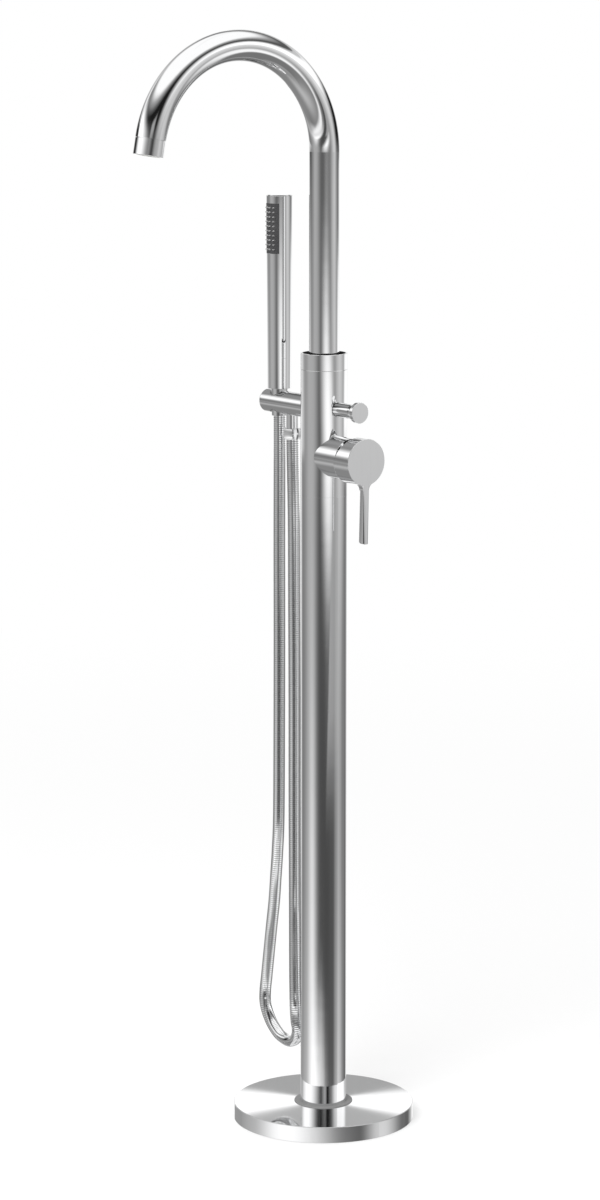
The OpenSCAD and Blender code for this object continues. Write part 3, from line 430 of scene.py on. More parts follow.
@dataclass(frozen=True)
class Metal(Finish):
    """Turned or drawn metal with fine lines along one axis."""

    line_cells: float = 30.0
    stretch: Point = (1.0, 1.0, 30.0)
    depth: float = 8e-6
    line_shine: float = 0.25
    cloud_cells: float = 60.0
    cloud_span: Pair = (0.35, 0.7)
    cloud_shine: float = 0.15
    patina: float = 0.82

    def inputs(self, graph: Graph) -> dict[str | int, Any]:
        """The Principled shader's inputs, as in Finish."""
        lines = graph.noise(self.line_cells, 2.0, self.stretch)
        cloud = graph.noise(self.cloud_cells, 4.0)
        shine = (lines - 0.5) * self.line_shine + (cloud - 0.5) * self.cloud_shine
        stain = cloud.step(*self.cloud_span)
        return {
            "Base Color": graph.tint(stain, self.colour, self.shade(self.patina)),
            "Metallic": 1.0,
            "Roughness": self.roughness + shine,
            "Normal": graph.bump(lines, self.depth),
        }


@dataclass(frozen=True)
class TappedBrass(Metal):
    """Brass of the inlet block, with the pipe thread in its two bores."""

    bore_y: float = 12.3 * MM
    bore_r: float = 9.5 * MM
    pitch: float = 1.8 * MM
    thread: float = 0.5 * MM
    fade: float = 0.1 * MM

    def inputs(self, graph: Graph) -> dict[str | int, Any]:
        """The Principled shader's inputs, as in Finish."""
        made = super().inputs(graph)
        x, y, z = graph.axes(graph.place())
        aside = y.absolute() - self.bore_y
        radius = (x * x + aside * aside) ** 0.5
        bore = radius.step(self.bore_r, self.bore_r - self.fade)
        ridge = (z * (2 * math.pi / self.pitch)).sine() * 0.5 + 0.5
        made["Normal"] = graph.bump(ridge * bore, self.thread)
        return made


@dataclass(frozen=True)
class Moulded(Finish):
    """Moulded plastic, rubber, silicone or pressed ceramic with a fine grain."""

    grain_cells: float = 1800.0
    depth: float = 12e-6
    grain_shine: float = 0.1
    cloud_cells: float = 45.0
    cloud_span: Pair = (0.4, 0.75)
    cloud_share: float = 0.7
    cloud_shine: float = 0.12
    dust: float = 1.25
    gloss: float = 0.5

    def inputs(self, graph: Graph) -> dict[str | int, Any]:
        """The Principled shader's inputs, as in Finish."""
        grain = graph.noise(self.grain_cells, 2.0)
        cloud = graph.noise(self.cloud_cells, 3.0)
        mottle = blend(grain, cloud.step(*self.cloud_span), self.cloud_share)
        shine = (cloud - 0.5) * self.cloud_shine + (grain - 0.5) * self.grain_shine
        return {
            "Base Color": graph.tint(mottle, self.colour, self.shade(self.dust)),
            "Metallic": 0.0,
            "Specular IOR Level": self.gloss,
            "Roughness": self.roughness + shine,
            "Normal": graph.bump(grain, self.depth),
        }


@dataclass(frozen=True)
class HoseSteel(Finish):
    """Chromed hose strip: bright bands, and grooves darkened by painted shade, by the hose's own
    map.
    """

    groove_span: Pair = (0.05, 0.9)
    painted_groove_darkening: float = 0.22
    groove_shine: float = 0.22
    cloud_cells: float = 120.0
    cloud_shine: float = 0.06
    cloud_depth: float = 6e-6

    def inputs(self, graph: Graph) -> dict[str | int, Any]:
        """The Principled shader's inputs, as in Finish."""
        depth = graph.node("ShaderNodeAttribute", {"attribute_name": GROOVE}, {}, "Fac")
        cloud = graph.noise(self.cloud_cells, 3.0)
        # Painted shade: the grooves' colour is darkened to 0.22 of the strip's colour.
        shaded_groove_mask = depth.step(*self.groove_span)
        shine = depth * self.groove_shine + (cloud - 0.5) * self.cloud_shine
        return {
            "Base Color": graph.tint(shaded_groove_mask, self.colour, self.shade(self.painted_groove_darkening)),
            "Metallic": 1.0,
            "Roughness": self.roughness + shine,
            "Normal": graph.bump(cloud, self.cloud_depth),
        }


FINISHES: dict[Slot, Finish] = {
    Slot.CHROME: PolishedChrome("polished_chrome"),
    Slot.FOOT_RING: Moulded("foot_ring_rubber", (0.22, 0.22, 0.22), 0.5, dust=1.15),
    Slot.BRASS: Metal("turned_brass", BRASS, 0.3),
    Slot.STEEL: Metal("plain_steel", (0.58, 0.58, 0.59), 0.28),
    Slot.HOSE_STEEL: HoseSteel("hose_strip_chrome", (0.9, 0.905, 0.91), 0.05),
    Slot.BLACK_RUBBER: Moulded("black_rubber", (0.02, 0.02, 0.02), 0.55),
    Slot.BLACK_PLASTIC: Moulded("black_plastic", (0.01, 0.01, 0.011), 0.6, 2600.0, gloss=0.0),
    Slot.WHITE_PLASTIC: Moulded("white_acetal", (0.78, 0.78, 0.75), 0.38, dust=0.94),
    Slot.SPRAY_PLATE: Moulded("spray_panel_plastic", (0.045, 0.045, 0.047), 0.42, 2600.0),
    Slot.SILICONE: Moulded("nozzle_silicone", (0.42, 0.42, 0.42), 0.5, dust=1.1),
    Slot.CERAMIC: Moulded("disc_ceramic", (0.84, 0.82, 0.76), 0.15, depth=2e-6, dust=0.97),
}
SPECIAL: dict[str, Finish] = {
    "base_cover": SpunChrome("spun_chrome"),
    # The collar's and the shell's bores carry painted shade.
    "top_collar": ShadedBoreChrome("collar_chrome"),
    "handset_shell": ShadedBoreChrome(
        "shell_chrome", bore_r=13.3 * MM, rim=1022.9 * MM, axis_x=-80 * MM
    ),
    "handset_tail": PolishedChrome("plated_brass", roughness=0.06),
    "inlet_block": TappedBrass("tapped_brass", BRASS, 0.3),
    "lever_handle": EdgedChrome("lever_chrome"),
    "diverter_knob": EdgedChrome("knob_chrome", edge_r=0.5 * MM),
    "hose_nut": CrownedChrome("nut_chrome"),
    "holder_liner": Moulded("liner_plastic", (0.16, 0.16, 0.16), 0.5, gloss=0.2),
    # Painted shade: the water holes and their rims are coloured near black, where shade falls into
    # the holes.
    "nozzle_jets": Moulded("jet_hole_painted_shade", (0.06, 0.06, 0.06), 0.5),
}


@dataclass
class FinishShop:
    """Builds each finish once and dresses the CAD nodes with it."""

    made: dict[str, bpy.types.Material] = field(default_factory=dict)

    def material(self, finish: Finish) -> bpy.types.Material:
        """The material of a finish.

        Args:
            finish: The finish.

        Returns:
            Its material.
        """
        if finish.name not in self.made:
            self.made[finish.name] = finish.build()
        return self.made[finish.name]

    def dress(self, piece: bpy.types.Object, finish: Finish) -> None:
        """Gives a piece one finish all over.

        Args:
            piece: The piece.
            finish: The finish.
        """
        if not piece.material_slots:
            piece.data.materials.append(None)
        for slot in piece.material_slots:
            slot.material = self.material(finish)

    def dress_frame(self, frame: dict[str, Any]) -> None:
        """Gives every CAD node the finish of its slot.
        """
        slots = {s["node"]: Slot(s["material_slot"]) for s in frame["record"]["subparts"]}
        for name, piece in frame["nodes"].items():
            self.dress(piece, SPECIAL.get(name, FINISHES[slots[name]]))
        log.info("dressed %d CAD nodes", len(frame["nodes"]))


# ----------------------------------------------------------------- modelling


class Bench:
    """Small helpers around Blender's own modelling operators."""

    @staticmethod
    def clear() -> None:
        """Deselects everything."""
        bpy.ops.object.select_all(action="DESELECT")

    @staticmethod
    def pick(*pieces: bpy.types.Object) -> None:
        """Selects nothing but some pieces.

        Args:
            pieces: The pieces. The first one becomes the active one.
        """
        Bench.clear()
        for piece in pieces:
            piece.select_set(True)
        bpy.context.view_layer.objects.active = pieces[0]

    @staticmethod
    def edit_all() -> None:
        """Opens the active piece in edit mode, all of it selected."""
        bpy.ops.object.mode_set(mode="EDIT")
        bpy.ops.mesh.select_all(action="SELECT")

    @staticmethod
    def leave_edit() -> None:
        """Goes back to object mode."""
        bpy.ops.object.mode_set(mode="OBJECT")

    @staticmethod
    def add(name: str, mesh: bpy.types.Mesh) -> bpy.types.Object:
        """Puts a mesh into the scene and picks it.

        Args:
            name: The piece's name.
            mesh: Its mesh.

        Returns:
            The new piece.
        """
        piece = bpy.data.objects.new(name, mesh)
        bpy.context.scene.collection.objects.link(piece)
        Bench.pick(piece)
        return piece

    @staticmethod
    def tube(name: str, rings: list[list[Point]]) -> bpy.types.Object:
        """Makes a tube with closed ends from rings of points.

        Args:
            name: The piece's name.
            rings: The rings, all with the same number of points.

        Returns:
            The new piece, picked.
        """
        n, last = len(rings[0]), len(rings) - 1
        faces = [
            [i * n + k, i * n + (k + 1) % n, (i + 1) * n + (k + 1) % n, (i + 1) * n + k]
            for i in range(last)
            for k in range(n)
        ]
        faces.append(list(reversed(range(n))))
        faces.append([last * n + k for k in range(n)])
        mesh = bpy.data.meshes.new(name)
        mesh.from_pydata([point for ring in rings for point in ring], [], faces)
        mesh.update()
        return Bench.add(name, mesh)

    @staticmethod
    def select_faces(piece: bpy.types.Object, wanted: Callable[[Face], bool]) -> None:
        """Opens the active piece in edit mode with some of its faces selected.

        Args:
            piece: The piece, in object mode.
            wanted: Says of a face whether it is selected.
        """
        bpy.ops.object.mode_set(mode="EDIT")
        bpy.ops.mesh.select_all(action="DESELECT")
        bpy.ops.mesh.select_mode(type="FACE")
        Bench.leave_edit()
        for face in piece.data.polygons:
            face.select = wanted(face)
        bpy.ops.object.mode_set(mode="EDIT")

    @staticmethod
    def modify(piece: bpy.types.Object, kind: str, **settings: Any) -> None:
        """Finishes the active piece with a modifier and applies it.

        Args:
            piece: The piece.
            kind: The modifier's type.
            settings: The modifier's settings.
        """
        modifier = piece.modifiers.new(kind.lower(), kind)
        for name, value in settings.items():
            setattr(modifier, name, value)
        bpy.ops.object.modifier_apply(modifier=modifier.name)

    @staticmethod
    def smooth(angle_deg: float) -> None:
        """Shades the active piece smooth across edges up to an angle."""
        bpy.ops.object.shade_smooth_by_angle(angle=math.radians(angle_deg))

    @staticmethod
    def settle(piece: bpy.types.Object) -> None:
        """Applies the piece's place to its mesh and picks it."""
        Bench.pick(piece)
        bpy.ops.object.transform_apply(location=True, rotation=True, scale=True)

    @staticmethod
    def share(piece: bpy.types.Object, shares: list[float]) -> None:
        """Would set how far each point of a blended piece follows its second body; it does
        nothing.
        """


# --------------------------------------------------------------------- camera


@dataclass
class PhotoCamera:
    """The photograph's viewpoint. Its heading is the level direction it looks in."""

    place: Point = (3.2708, -2.5427, 1.3280)
    heading: Pair = (-0.79335, 0.60876)
    pitch_deg: float = 10.15
    lens_mm: float = 115.42
    sensor_mm: float = 36.0
    clip: Pair = (0.1, 100.0)

    def build(self) -> None:
        """Makes the scene's camera."""
        data = bpy.data.cameras.new("photo_camera")
        data.sensor_width = self.sensor_mm
        data.lens = self.lens_mm
        data.clip_start, data.clip_end = self.clip
        camera = bpy.data.objects.new("photo_camera", data)
        camera.location = self.place
        pitch = math.radians(self.pitch_deg)
        level = math.cos(pitch)
        ahead = Vector((self.heading[0] * level, self.heading[1] * level, -math.sin(pitch)))
        camera.rotation_mode = "QUATERNION"
        camera.rotation_quaternion = ahead.to_track_quat("-Z", "Y")
        bpy.context.scene.collection.objects.link(camera)
        bpy.context.scene.camera = camera
        log.info("%s: %.2f mm lens", camera.name, self.lens_mm)


# ----------------------------------------------------------------------- hose


@dataclass
class ShowerHose:
    """Hose of wound metal strip that hangs in one loop from the hand shower to the outlet.

    The route is in millimetres. The profile is one turn of the strip: for each ring, its
    share of the pitch and its share of the groove's depth.
    """

    diameter: float = 13.6 * MM
    groove: float = 0.32 * MM
    pitch: float = 2.4 * MM
    sides: int = 20
    steps: int = 24
    window: int = 3
    smooth_deg: float = 24.0
    profile: tuple[Pair, ...] = (
        (0.0, 1.0), (0.09, 0.3), (0.13, 0.0), (0.87, 0.0), (0.91, 0.3),
    )
    route: tuple[Point, ...] = (
        (-80, 0, 782), (-80, 0, 740), (-80.5, 0, 640), (-80.5, 0, 540), (-81, 0, 430),
        (-82, 0, 330), (-84.5, 0, 289), (-87.5, 0, 259), (-92, 1, 228.5), (-97.5, 1.5, 198.5),
        (-103.5, 2.5, 168), (-109, 3, 136.5), (-111, 2.5, 120), (-110.5, 2, 107), (-107, 2.5, 95),
        (-99.5, 3.5, 83), (-88.5, 4, 74), (-78.5, 4, 70.5), (-67, 3, 70), (-55.5, 1.5, 74),
        (-47, -1, 81.5), (-42, -4, 91), (-40, -7.5, 104), (-39.5, -9, 125), (-43, -7, 163),
        (-50.5, -1.5, 238), (-53.5, 0.5, 360), (-53.5, 0.5, 470), (-53.5, 0, 580), (-54, 0, 670),
        (-56, 0, 735), (-56.5, 0, 758),
    )

    def spline(self) -> tuple[list[Vector], list[float]]:
        """The smooth line through the route, an even cubic spline.

        Returns:
            Close points from the hand shower to the outlet, and the length up to each.
        """
        stops = [Vector(p) * MM for p in self.route]
        ends = [stops[0], *stops, stops[-1]]
        fine: list[Vector] = []
        for a, b, c, d in zip(ends, ends[1:], ends[2:], ends[3:]):
            for k in range(self.steps):
                t = k / self.steps
                bow = 2 * a - 5 * b + 4 * c - d
                twist = 3 * b - a - 3 * c + d
                fine.append(0.5 * (2 * b + (c - a) * t + bow * t * t + twist * t * t * t))
        fine.append(stops[-1])
        reach = [0.0]
        for a, b in zip(fine, fine[1:]):
            reach.append(reach[-1] + (b - a).length)
        return fine, reach

    def stations(self, length: float) -> list[Pair]:
        """Where the wound strip's profile has its rings.

        Args:
            length: The hose's length.

        Returns:
            The length up to each ring, and the ring's share of the groove's depth.
        """
        turns = round(length / self.pitch)
        rings = [
            ((turn + at) / turns * length, depth)
            for turn in range(turns)
            for at, depth in self.profile
        ]
        rings[0] = (0.0, 0.0)
        return [*rings, (length, 0.0)]

    def middles(self, fine: list[Vector], reach: list[float], rings: list[Pair]) -> list[Vector]:
        """The middle of each ring.

        Args:
            fine: Close points on the hose's line.
            reach: The length up to each of these points.
            rings: What stations returned.

        Returns:
            The middles.
        """
        line: list[Vector] = []
        i = 0
        for at, _ in rings:
            while i < len(fine) - 2 and reach[i + 1] < at:
                i += 1
            line.append(fine[i].lerp(fine[i + 1], (at - reach[i]) / (reach[i + 1] - reach[i])))
        return line

    def outlines(self, line: list[Vector], rings: list[Pair]) -> list[list[Point]]:
        """The points round each ring, square to the hose's line.

        Args:
            line: The middle of each ring.
            rings: What stations returned.

        Returns:
            Each ring's points.
        """
        last = len(line) - 1
        turns = [2 * math.pi * k / self.sides for k in range(self.sides)]
        outlines = []
        for i, (middle, (_, depth)) in enumerate(zip(line, rings)):
            ahead = line[min(last, i + self.window)] - line[max(0, i - self.window)]
            ahead = ahead.normalized()
            across = Vector((0, 1, 0)).cross(ahead).normalized()
            beside = ahead.cross(across)
            radius = self.diameter / 2 - self.groove * depth
            arms = [across * math.cos(turn) + beside * math.sin(turn) for turn in turns]
            outlines.append([tuple(middle + arm * radius) for arm in arms])
        return outlines

    def build(self, shop: FinishShop) -> bpy.types.Object:
        """Makes the wound hose along its route, with each ring's groove depth kept on its points.

        Args:
            shop: The finishes.

        Returns:
            The hose.
        """
        fine, reach = self.spline()
        rings = self.stations(reach[-1])
        line = self.middles(fine, reach, rings)
        piece = Bench.tube("wound_hose", self.outlines(line, rings))
        depths = [depth for _, depth in rings for _ in range(self.sides)]
        marks = piece.data.attributes.new(GROOVE, "FLOAT", "POINT")
        marks.data.foreach_set("value", depths)
        Bench.smooth(self.smooth_deg)
        shop.dress(piece, FINISHES[Slot.HOSE_STEEL])
        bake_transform(piece)
        Bench.share(piece, [1.0 - at / reach[-1] for at, _ in rings for _ in range(self.sides)])
        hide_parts("shower_hose")
        [tuple(p) for p in line[:: 2 * len(self.profile)]] + [tuple(line[-1])]
        return piece


# ---------------------------------------------------------------- hand shower


@dataclass
class HandShowerShell:
    """Tapered tube of the hand shower, open at both ends and at the spray panel."""

    axis_x: float = -80 * MM
    low: float = 812.3 * MM
    top: float = 1023.1 * MM
    low_r: float = 13.5 * MM
    top_r: float = 14.5 * MM
    wall: float = 1.5 * MM
    edge: float = 0.25 * MM
    panel_low: float = 960.5 * MM
    panel_top: float = 1015.0 * MM
    panel_turn_deg: float = -86.0
    panel_deg: float = 96.0
    segments: int = 180
    near: float = 0.01 * MM
    lip: float = 0.12 * MM
    lip_deg: float = 50.0
    smooth_deg: float = 12.0

    def tube(self) -> bpy.types.Object:
        """Models the tapered tube as one skin, with rings at the panel and at both ends.

        Returns:
            The skin, in edit mode.
        """
        Bench.clear()
        bpy.ops.mesh.primitive_cone_add(
            vertices=self.segments,
            radius1=self.low_r,
            radius2=self.top_r,
            depth=self.top - self.low,
            end_fill_type="NOTHING",
            location=(0, 0, (self.low + self.top) / 2),
        )
        piece = bpy.context.object
        piece.name = "hand_shower_shell"
        Bench.settle(piece)
        Bench.edit_all()
        cuts = (self.low + self.edge, self.panel_low, self.panel_top, self.top - self.edge)
        for height in cuts:
            bpy.ops.mesh.select_all(action="SELECT")
            bpy.ops.mesh.bisect(plane_co=(0, 0, height), plane_no=(0, 0, 1))
        return piece

    def in_panel(self, face: Face) -> bool:
        """Whether a face of the skin lies in the spray panel's opening.

        Args:
            face: The face.

        Returns:
            True inside the opening.
        """
        middle = face.center
        turn = math.degrees(math.atan2(middle.y, middle.x)) - self.panel_turn_deg
        beside = abs((turn + 180) % 360 - 180) < self.panel_deg / 2
        return beside and self.panel_low < middle.z < self.panel_top

    def round_ends(self, piece: bpy.types.Object) -> None:
        """Draws the two end rings in, which leaves a narrow chamfer.

        Args:
            piece: The skin, in edit mode.
        """
        for height, radius in ((self.low, self.low_r), (self.top, self.top_r)):
            bpy.ops.mesh.select_mode(type="VERT")
            bpy.ops.mesh.select_all(action="DESELECT")
            Bench.leave_edit()
            for vertex in piece.data.vertices:
                vertex.select = abs(vertex.co.z - height) < self.near
            bpy.ops.object.mode_set(mode="EDIT")
            share = 1 - self.edge / radius
            bpy.ops.transform.resize(value=(share, share, 1), center_override=(0, 0, height))

    def build(self, shop: FinishShop) -> bpy.types.Object:
        """Makes the shell in place of the CAD node.

        Args:
            shop: The finishes.

        Returns:
            The shell.
        """
        piece = self.tube()
        self.round_ends(piece)
        Bench.leave_edit()
        Bench.select_faces(piece, self.in_panel)
        bpy.ops.mesh.delete(type="FACE")
        Bench.leave_edit()
        Bench.modify(piece, "SOLIDIFY", thickness=self.wall, offset=-1.0, use_even_offset=True)
        Bench.modify(
            piece,
            "BEVEL",
            width=self.lip,
            segments=2,
            limit_method="ANGLE",
            angle_limit=math.radians(self.lip_deg),
        )
        Bench.smooth(self.smooth_deg)
        piece.location.x = self.axis_x
        Bench.settle(piece)
        shop.dress(piece, SPECIAL["handset_shell"])
        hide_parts("handset_shell")
        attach(piece, "hand_shower")
        return piece


# -------------------------------------------------------------- spray nozzles


@dataclass
class SprayJets:
    """The water holes in the tips of the hand shower's silicone nozzles, in rows up it."""

    hand_x: float = -80 * MM
    turn_deg: float = -86.0
    tip: float = 15.703 * MM
    middle: float = 987.75 * MM
    pitch: float = 5.05 * MM
    step_deg: float = 22.0
    rows: int = 10
    columns: int = 3
    lip_r: float = 0.66 * MM
    lip: float = 0.14 * MM
    rim_share: float = 0.32
    depth_share: float = 0.9
    sides: int = 14

    def jet(self) -> bpy.types.Object:
        """Models one water hole, facing +Z at the origin.

        Returns:
            The hole's rim and bore as one piece.
        """
        Bench.clear()
        bpy.ops.mesh.primitive_cylinder_add(vertices=self.sides, radius=self.lip_r, depth=self.lip)
        piece = bpy.context.object
        Bench.select_faces(piece, lambda face: face.normal.z > 0.9)
        bpy.ops.mesh.inset(thickness=self.lip_r * self.rim_share)
        down = (0, 0, -self.lip * self.depth_share)
        bpy.ops.mesh.extrude_region_move(TRANSFORM_OT_translate={"value": down})
        Bench.leave_edit()
        return piece

    def build(self, shop: FinishShop) -> bpy.types.Object:
        """Makes all the water holes as one piece.

        Args:
            shop: The finishes.

        Returns:
            The piece.
        """
        first = self.jet()
        copies = []
        for column in range(self.columns):
            for row in range(self.rows):
                turn_deg = self.turn_deg + (column - (self.columns - 1) / 2) * self.step_deg
                turn = math.radians(turn_deg)
                height = self.middle + (row - (self.rows - 1) / 2) * self.pitch
                out = Vector((math.cos(turn), math.sin(turn), 0))
                copy = first.copy()
                copy.data = first.data.copy()
                bpy.context.scene.collection.objects.link(copy)
                copy.rotation_mode = "QUATERNION"
                copy.rotation_quaternion = out.to_track_quat("Z", "Y")
                copy.location = Vector((self.hand_x, 0, height)) + out * self.tip
                copies.append(copy)
        bpy.data.objects.remove(first)
        Bench.pick(*copies)
        bpy.ops.object.join()
        piece = bpy.context.object
        piece.name = "nozzle_jets"
        Bench.settle(piece)
        shop.dress(piece, SPECIAL["nozzle_jets"])
        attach(piece, "hand_shower")
        return piece


# --------------------------------------------------------------------- lever


@dataclass
class LeverHandle:
    """Lever with its stick's front edges rounded off more and more toward the tip.

    A former trims the CAD mesh. Below the stick's root it is as wide as the stick, with
    corners whose radius grows from root_r to tip_r. Above, it takes in the whole head.
    """

    front: float = 73.82 * MM
    side: float = 4.02 * MM
    tip: float = 657.5 * MM
    root: float = 715.5 * MM
    tip_r: float = 3.0 * MM
    root_r: float = 0.5 * MM
    reach: float = 60.0 * MM
    axis_depth: float = 10.0 * MM
    below: float = 8.0 * MM
    head_swell: float = 12.0
    merge: float = 0.001 * MM
    levels: int = 6
    facets: int = 14
    smooth_deg: float = 20.0

    def ring(self, height: float, swell: float = 1.0) -> list[Point]:
        """One outline of the former that trims the stick.

        Args:
            height: Its height.
            swell: How much it is enlarged about the former's axis.

        Returns:
            Its points, counterclockwise seen from above.
        """
        share = (self.root - height) / (self.root - self.tip)
        radius = self.root_r + (self.tip_r - self.root_r) * min(1.0, max(0.0, share))
        axis = self.front - self.axis_depth
        outline = [(-self.reach / 2, -self.side)]
        for way in (-1, 1):
            for k in range(self.facets + 1):
                turn = math.pi / 2 * (k / self.facets if way > 0 else k / self.facets - 1)
                outline.append((
                    self.front - axis - radius + radius * math.cos(turn),
                    way * (self.side - radius) + radius * math.sin(turn),
                ))
        outline.append((-self.reach / 2, self.side))
        return [(axis + x * swell, y * swell, height) for x, y in outline]

    def former(self) -> bpy.types.Object:
        """Models the former, which holds the whole head and the rounded stick.

        Returns:
            The former.
        """
        rise = self.root - self.tip
        rings = [
            self.ring(self.tip - self.below),
            *(self.ring(self.tip + rise * k / self.levels) for k in range(self.levels + 1)),
            self.ring(self.root, self.head_swell),
            self.ring(self.root + 2 * self.reach, self.head_swell),
        ]
        return Bench.tube("stick_former", rings)

    def build(self, shop: FinishShop, node: bpy.types.Object) -> bpy.types.Object:
        """Trims a copy of the lever's CAD mesh.

        Args:
            shop: The finishes.
            node: The lever's CAD node.

        Returns:
            The lever.
        """
        former = self.former()
        piece = Bench.add("polished_lever", node.data.copy())
        Bench.edit_all()
        bpy.ops.mesh.remove_doubles(threshold=self.merge)
        Bench.leave_edit()
        bpy.ops.mesh.customdata_custom_splitnormals_clear()
        Bench.modify(piece, "BOOLEAN", operation="INTERSECT", solver="EXACT", object=former)
        bpy.data.objects.remove(former)
        Bench.smooth(self.smooth_deg)
        shop.dress(piece, SPECIAL["lever_handle"])
        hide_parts("lever_handle")
        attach(piece, "lever")
        return piece


# ------------------------------------------------------------ diverter spring


@dataclass
class DiverterSpring:
    """Spring that pushes the diverter's piston back, wound round its spindle."""

    axis_z: float = 798.6 * MM
    low: float = -7.45 * MM
    high: float = 11.45 * MM
    wire_r: float = 0.5 * MM
    coil_r: float = 4.9 * MM
    turns: int = 6
    steps: int = 24
    wire_sides: int = 8
    smooth_deg: float = 50.0

    def build(self, shop: FinishShop) -> bpy.types.Object:
        """Winds the spring.

        Args:
            shop: The finishes.

        Returns:
            The spring.
        """
        Bench.clear()
        bpy.ops.mesh.primitive_circle_add(
            vertices=self.wire_sides, radius=self.wire_r, rotation=(math.pi / 2, 0, 0)
        )
        piece = bpy.context.object
        piece.name = "wound_spring"
        Bench.settle(piece)
        Bench.edit_all()
        bpy.ops.transform.translate(value=(0, 0, self.coil_r))
        Bench.leave_edit()
        long = self.high - self.low
        Bench.modify(
            piece,
            "SCREW",
            axis="X",
            iterations=self.turns,
            screw_offset=long / self.turns,
            steps=self.steps,
            render_steps=self.steps,
        )
        Bench.edit_all()
        bpy.ops.mesh.fill_holes(sides=self.wire_sides)
        bpy.ops.mesh.select_all(action="SELECT")
        bpy.ops.mesh.normals_make_consistent(inside=False)
        Bench.leave_edit()
        piece.location = (self.low, 0, self.axis_z)
        Bench.settle(piece)
        Bench.smooth(self.smooth_deg)
        shop.dress(piece, FINISHES[Slot.STEEL])
        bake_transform(piece)
        shares = [min(1.0, max(0.0, (self.high - v.co.x) / long)) for v in piece.data.vertices]
        Bench.share(piece, shares)
        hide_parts("diverter_spring")
        return piece


# --------------------------------------------------------------------- studio


@dataclass(frozen=True)
class Softbox:
    """One light or dark card of the studio, by where it stands around the object.

    Azimuth and height are angles. Azimuth is measured from the photograph's camera,
    positive to its right, and lean is how much it grows with each degree of height.
    """

    azimuth: float
    half_width: float
    height: float
    half_height: float
    level: float
    soft_width: float = 0.5
    soft_height: float = 0.5
    lean: float = 0.0

    @staticmethod
    def fade(half: float, soft: float) -> Pair:
        """Angles from the card's middle where it begins and where it is full."""
        return half * (1 + soft / 2), half * (1 - soft / 2)


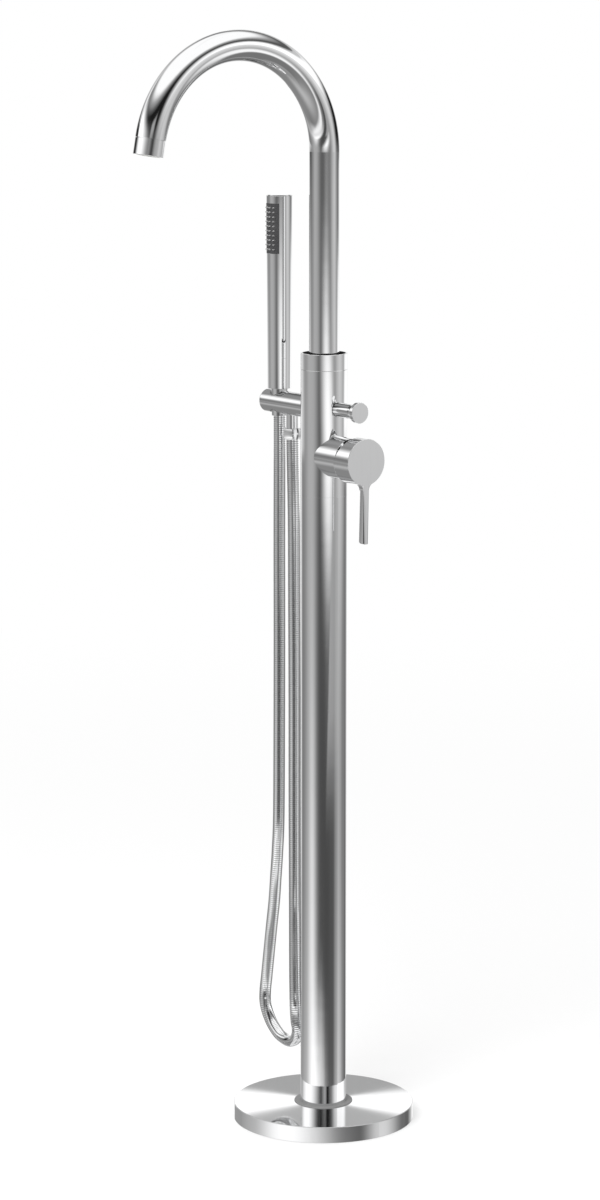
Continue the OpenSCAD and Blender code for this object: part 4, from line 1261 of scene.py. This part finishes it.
@dataclass
class Studio:
    """White room, soft top light, cards that the chrome mirrors, and a pale floor.

    A level of 1 is white. To the camera the floor glows white, fully beyond the glow_span
    and by glow_near close to the object, where it keeps the shadow.
    """

    camera_azimuth: float = -37.5
    room_level: float = 0.78
    wall_level: float = 0.3
    floor_r: float = 9.0
    floor_drop: float = 0.6 * MM
    floor_colours: tuple[Point, Point] = ((0.93, 0.93, 0.93), (0.95, 0.95, 0.95))
    floor_cells: float = 300.0
    glow_span: Pair = (0.5, 3.0)
    glow_near: float = 0.5
    lamp_place: Point = (1.2, -2.6, 3.4)
    lamp_aim: Point = (0.0, 0.0, 0.5)
    lamp_size: float = 2.4
    lamp_watts: float = 120.0
    floor_sides: int = 96
    cards: tuple[Softbox, ...] = (
        Softbox(-9, 71, -4.4, 33.5, 0.61, 0.8, 0.2, 4.4),
        Softbox(-9, 54, -12, 7.2, 1.25, 0.9, 0.6, 2.6),
        Softbox(-123, 15, 1.7, 6, 1.0, 0.8, 1.7, -1.1),
        Softbox(40, 22, -5.5, 12, 0.24, 1.8, 0.1, -0.8),
        Softbox(-172, 48, -5.8, 2.2, 1.25, 0.7, 0.1, -3.1),
        Softbox(-15, 39, -4.3, 12.2, 0.12, 1.8, 0.2, -0.7),
        Softbox(80, 108, -14.6, 6, 0.07, 0.7, 2, -5.2),
        Softbox(19, 23, -7.6, 1.8, 1.13, 2, 2, -3.2),
        Softbox(75, 35, -9.4, 3.2, 0.37, 0.2, 0.7, 7.9),
        Softbox(82, 20, -24.3, 27, 1.0, 1.9, 1.9, 0.5),
        Softbox(173, 101, -12.4, 5.3, 0.21, 1, 1.9, 1.3),
        Softbox(161, 45, -6.5, 1.5, 1.25, 0.4, 0.7, 0.8),
        Softbox(0, 220, 75, 31.5, 1.08, 0.6, 0.4, 0.5),
        Softbox(-8, 185, 29.2, 6.1, 0.1, 0.6, 1.1, 2.1),
        Softbox(38, 79, 17, 13.5, 0.012, 1.4, 0.4, -3.1),
        Softbox(-88, 38, 17.4, 11.5, 1.25, 1.7, 1.6, -2.6),
        Softbox(96, 43, 13.9, 9.9, 1.25, 1.3, 1.3, 0.9),
        Softbox(129, 21, 25.3, 1.9, 0.61, 1.9, 0.2, -1.2),
        Softbox(-143, 38, 3.4, 8.7, 0.02, 0.9, 0.7, -0.7),
        Softbox(128, 25, 4.3, 8.7, 0.01, 1.3, 1.1, 1.7),
        Softbox(177, 28, 2, 15.5, 0.86, 1, 1.6, 0.5),
        Softbox(0, 200, -48, 19, 0.19, 0.3, 0.4, -0.4),
        Softbox(-17, 49, -24.6, 4.2, 0.99, 0.8, 1.9, -5.9),
        Softbox(76, 29, -29.9, 5.2, 1.1, 1.7, 2, -2.2),
        Softbox(187, 29, -14.3, 15.4, 1.06, 0.9, 1.4, -0.1),
        Softbox(-121, 42, -54, 32, 0.25, 1.1, 0.5, -0.3),
        Softbox(-41, 42, -61, 22, 0.5, 2, 1.9, 1.2),
        Softbox(144, 7, -26.8, 15.4, 0.13, 1.1, 0.8, -0.8),
        Softbox(-147, 17, -19.6, 4.7, 0.33, 0.1, 1.2, -0.6),
        Softbox(4, 10, 15, 5, 0.36, 1.2, 1.2),
        Softbox(180, 8, 14.6, 1.6, 0.4, 0.4, 0.6),
        Softbox(180, 8, 17.8, 1.5, 1.2, 0.4, 0.5),
        Softbox(180, 8, 20.8, 1.4, 0.45, 0.4, 0.7),
    )

    def mirrored(self, graph: Graph) -> Value:
        """What a mirror sees of the studio.

        Args:
            graph: The world's graph.

        Returns:
            The brightness in each direction.
        """
        way = graph.node("ShaderNodeTexCoord", output="Generated")
        x, y, z = graph.axes(way)
        around = y.maths("ARCTAN2", x) * math.degrees(1.0) - self.camera_azimuth
        height = z.maths("ARCSINE") * math.degrees(1.0)
        seen: Value | float = self.wall_level
        for card in self.cards:
            middle = height * card.lean + (card.azimuth - card.lean * card.height)
            off = (around - middle).maths("WRAP", 180.0, -180.0).absolute()
            rise = (height - card.height).absolute()
            inside = off.step(*card.fade(card.half_width, card.soft_width))
            level = rise.step(*card.fade(card.half_height, card.soft_height))
            seen = blend(seen, card.level, inside * level)
        return seen

    def world(self) -> None:
        """Makes the world: white to the camera, cards to mirrors, even light to the rest."""
        world = bpy.data.worlds.new("studio")
        world.use_nodes = True
        bpy.context.scene.world = world
        graph = Graph(world.node_tree)
        path = graph.node("ShaderNodeLightPath").socket.node
        camera = Value(graph, path.outputs["Is Camera Ray"])
        glossy = Value(graph, path.outputs["Is Glossy Ray"])
        plain = blend(self.room_level, 1.0, camera)
        strength = blend(plain, self.mirrored(graph), glossy)
        light = graph.node(
            "ShaderNodeBackground", {}, {"Color": (1, 1, 1, 1), "Strength": strength}
        )
        graph.node("ShaderNodeOutputWorld", {}, {"Surface": light})

    def floor(self) -> None:
        """Makes the pale floor, which keeps the object's shadow."""
        Bench.clear()
        bpy.ops.mesh.primitive_circle_add(
            vertices=self.floor_sides,
            radius=self.floor_r,
            fill_type="NGON",
            location=(0, 0, -self.floor_drop),
        )
        floor = bpy.context.object
        floor.name = "studio_floor"
        material = bpy.data.materials.new("pale_floor")
        material.use_nodes = True
        graph = Graph(material.node_tree)
        path = graph.node("ShaderNodeLightPath", output="Is Camera Ray")
        colour = graph.tint(graph.noise(self.floor_cells), *self.floor_colours)
        matt = graph.node("ShaderNodeBsdfDiffuse", {}, {"Color": colour})
        white = graph.node("ShaderNodeEmission", {}, {"Color": (1, 1, 1, 1), "Strength": 1.0})
        x, y, _ = graph.axes(graph.place())
        far = ((x * x + y * y) ** 0.5).step(*self.glow_span)
        share = path * blend(self.glow_near, 1.0, far)
        shown = graph.node("ShaderNodeMixShader", {}, {0: share, 1: matt, 2: white})
        graph.node("ShaderNodeOutputMaterial", {}, {"Surface": shown})
        floor.data.materials.append(material)
        floor.visible_glossy = False

    def top_light(self) -> None:
        """Makes the large soft lamp above and to the left of the camera."""
        data = bpy.data.lights.new("top_softbox", "AREA")
        data.shape = "DISK"
        data.size = self.lamp_size
        data.energy = self.lamp_watts
        lamp = bpy.data.objects.new("top_softbox", data)
        lamp.location = self.lamp_place
        aim = Vector(self.lamp_aim) - Vector(self.lamp_place)
        lamp.rotation_euler = aim.to_track_quat("-Z", "Y").to_euler()
        lamp.visible_glossy = False
        bpy.context.scene.collection.objects.link(lamp)

    def build(self) -> None:
        """Makes the whole studio."""
        bpy.context.scene.view_settings.view_transform = "Standard"
        self.world()
        self.floor()
        self.top_light()
        log.info("studio: %d cards", len(self.cards))


def report(piece: bpy.types.Object) -> None:
    """Reports a finished piece."""
    log.info("%s: %d faces", piece.name, len(piece.data.polygons))


def main() -> None:
    """Builds the scene around the loaded frame, the cord right after the camera."""
    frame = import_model()
    shop = FinishShop()
    PhotoCamera().build()
    report(ShowerHose().build(shop))
    shop.dress_frame(frame)
    report(HandShowerShell().build(shop))
    report(SprayJets().build(shop))
    report(LeverHandle().build(shop, frame["nodes"]["lever_handle"]))
    report(DiverterSpring().build(shop))
    Studio().build()


if __name__ == "__main__":
    logging.basicConfig(level=logging.INFO, format="%(message)s")
    main()
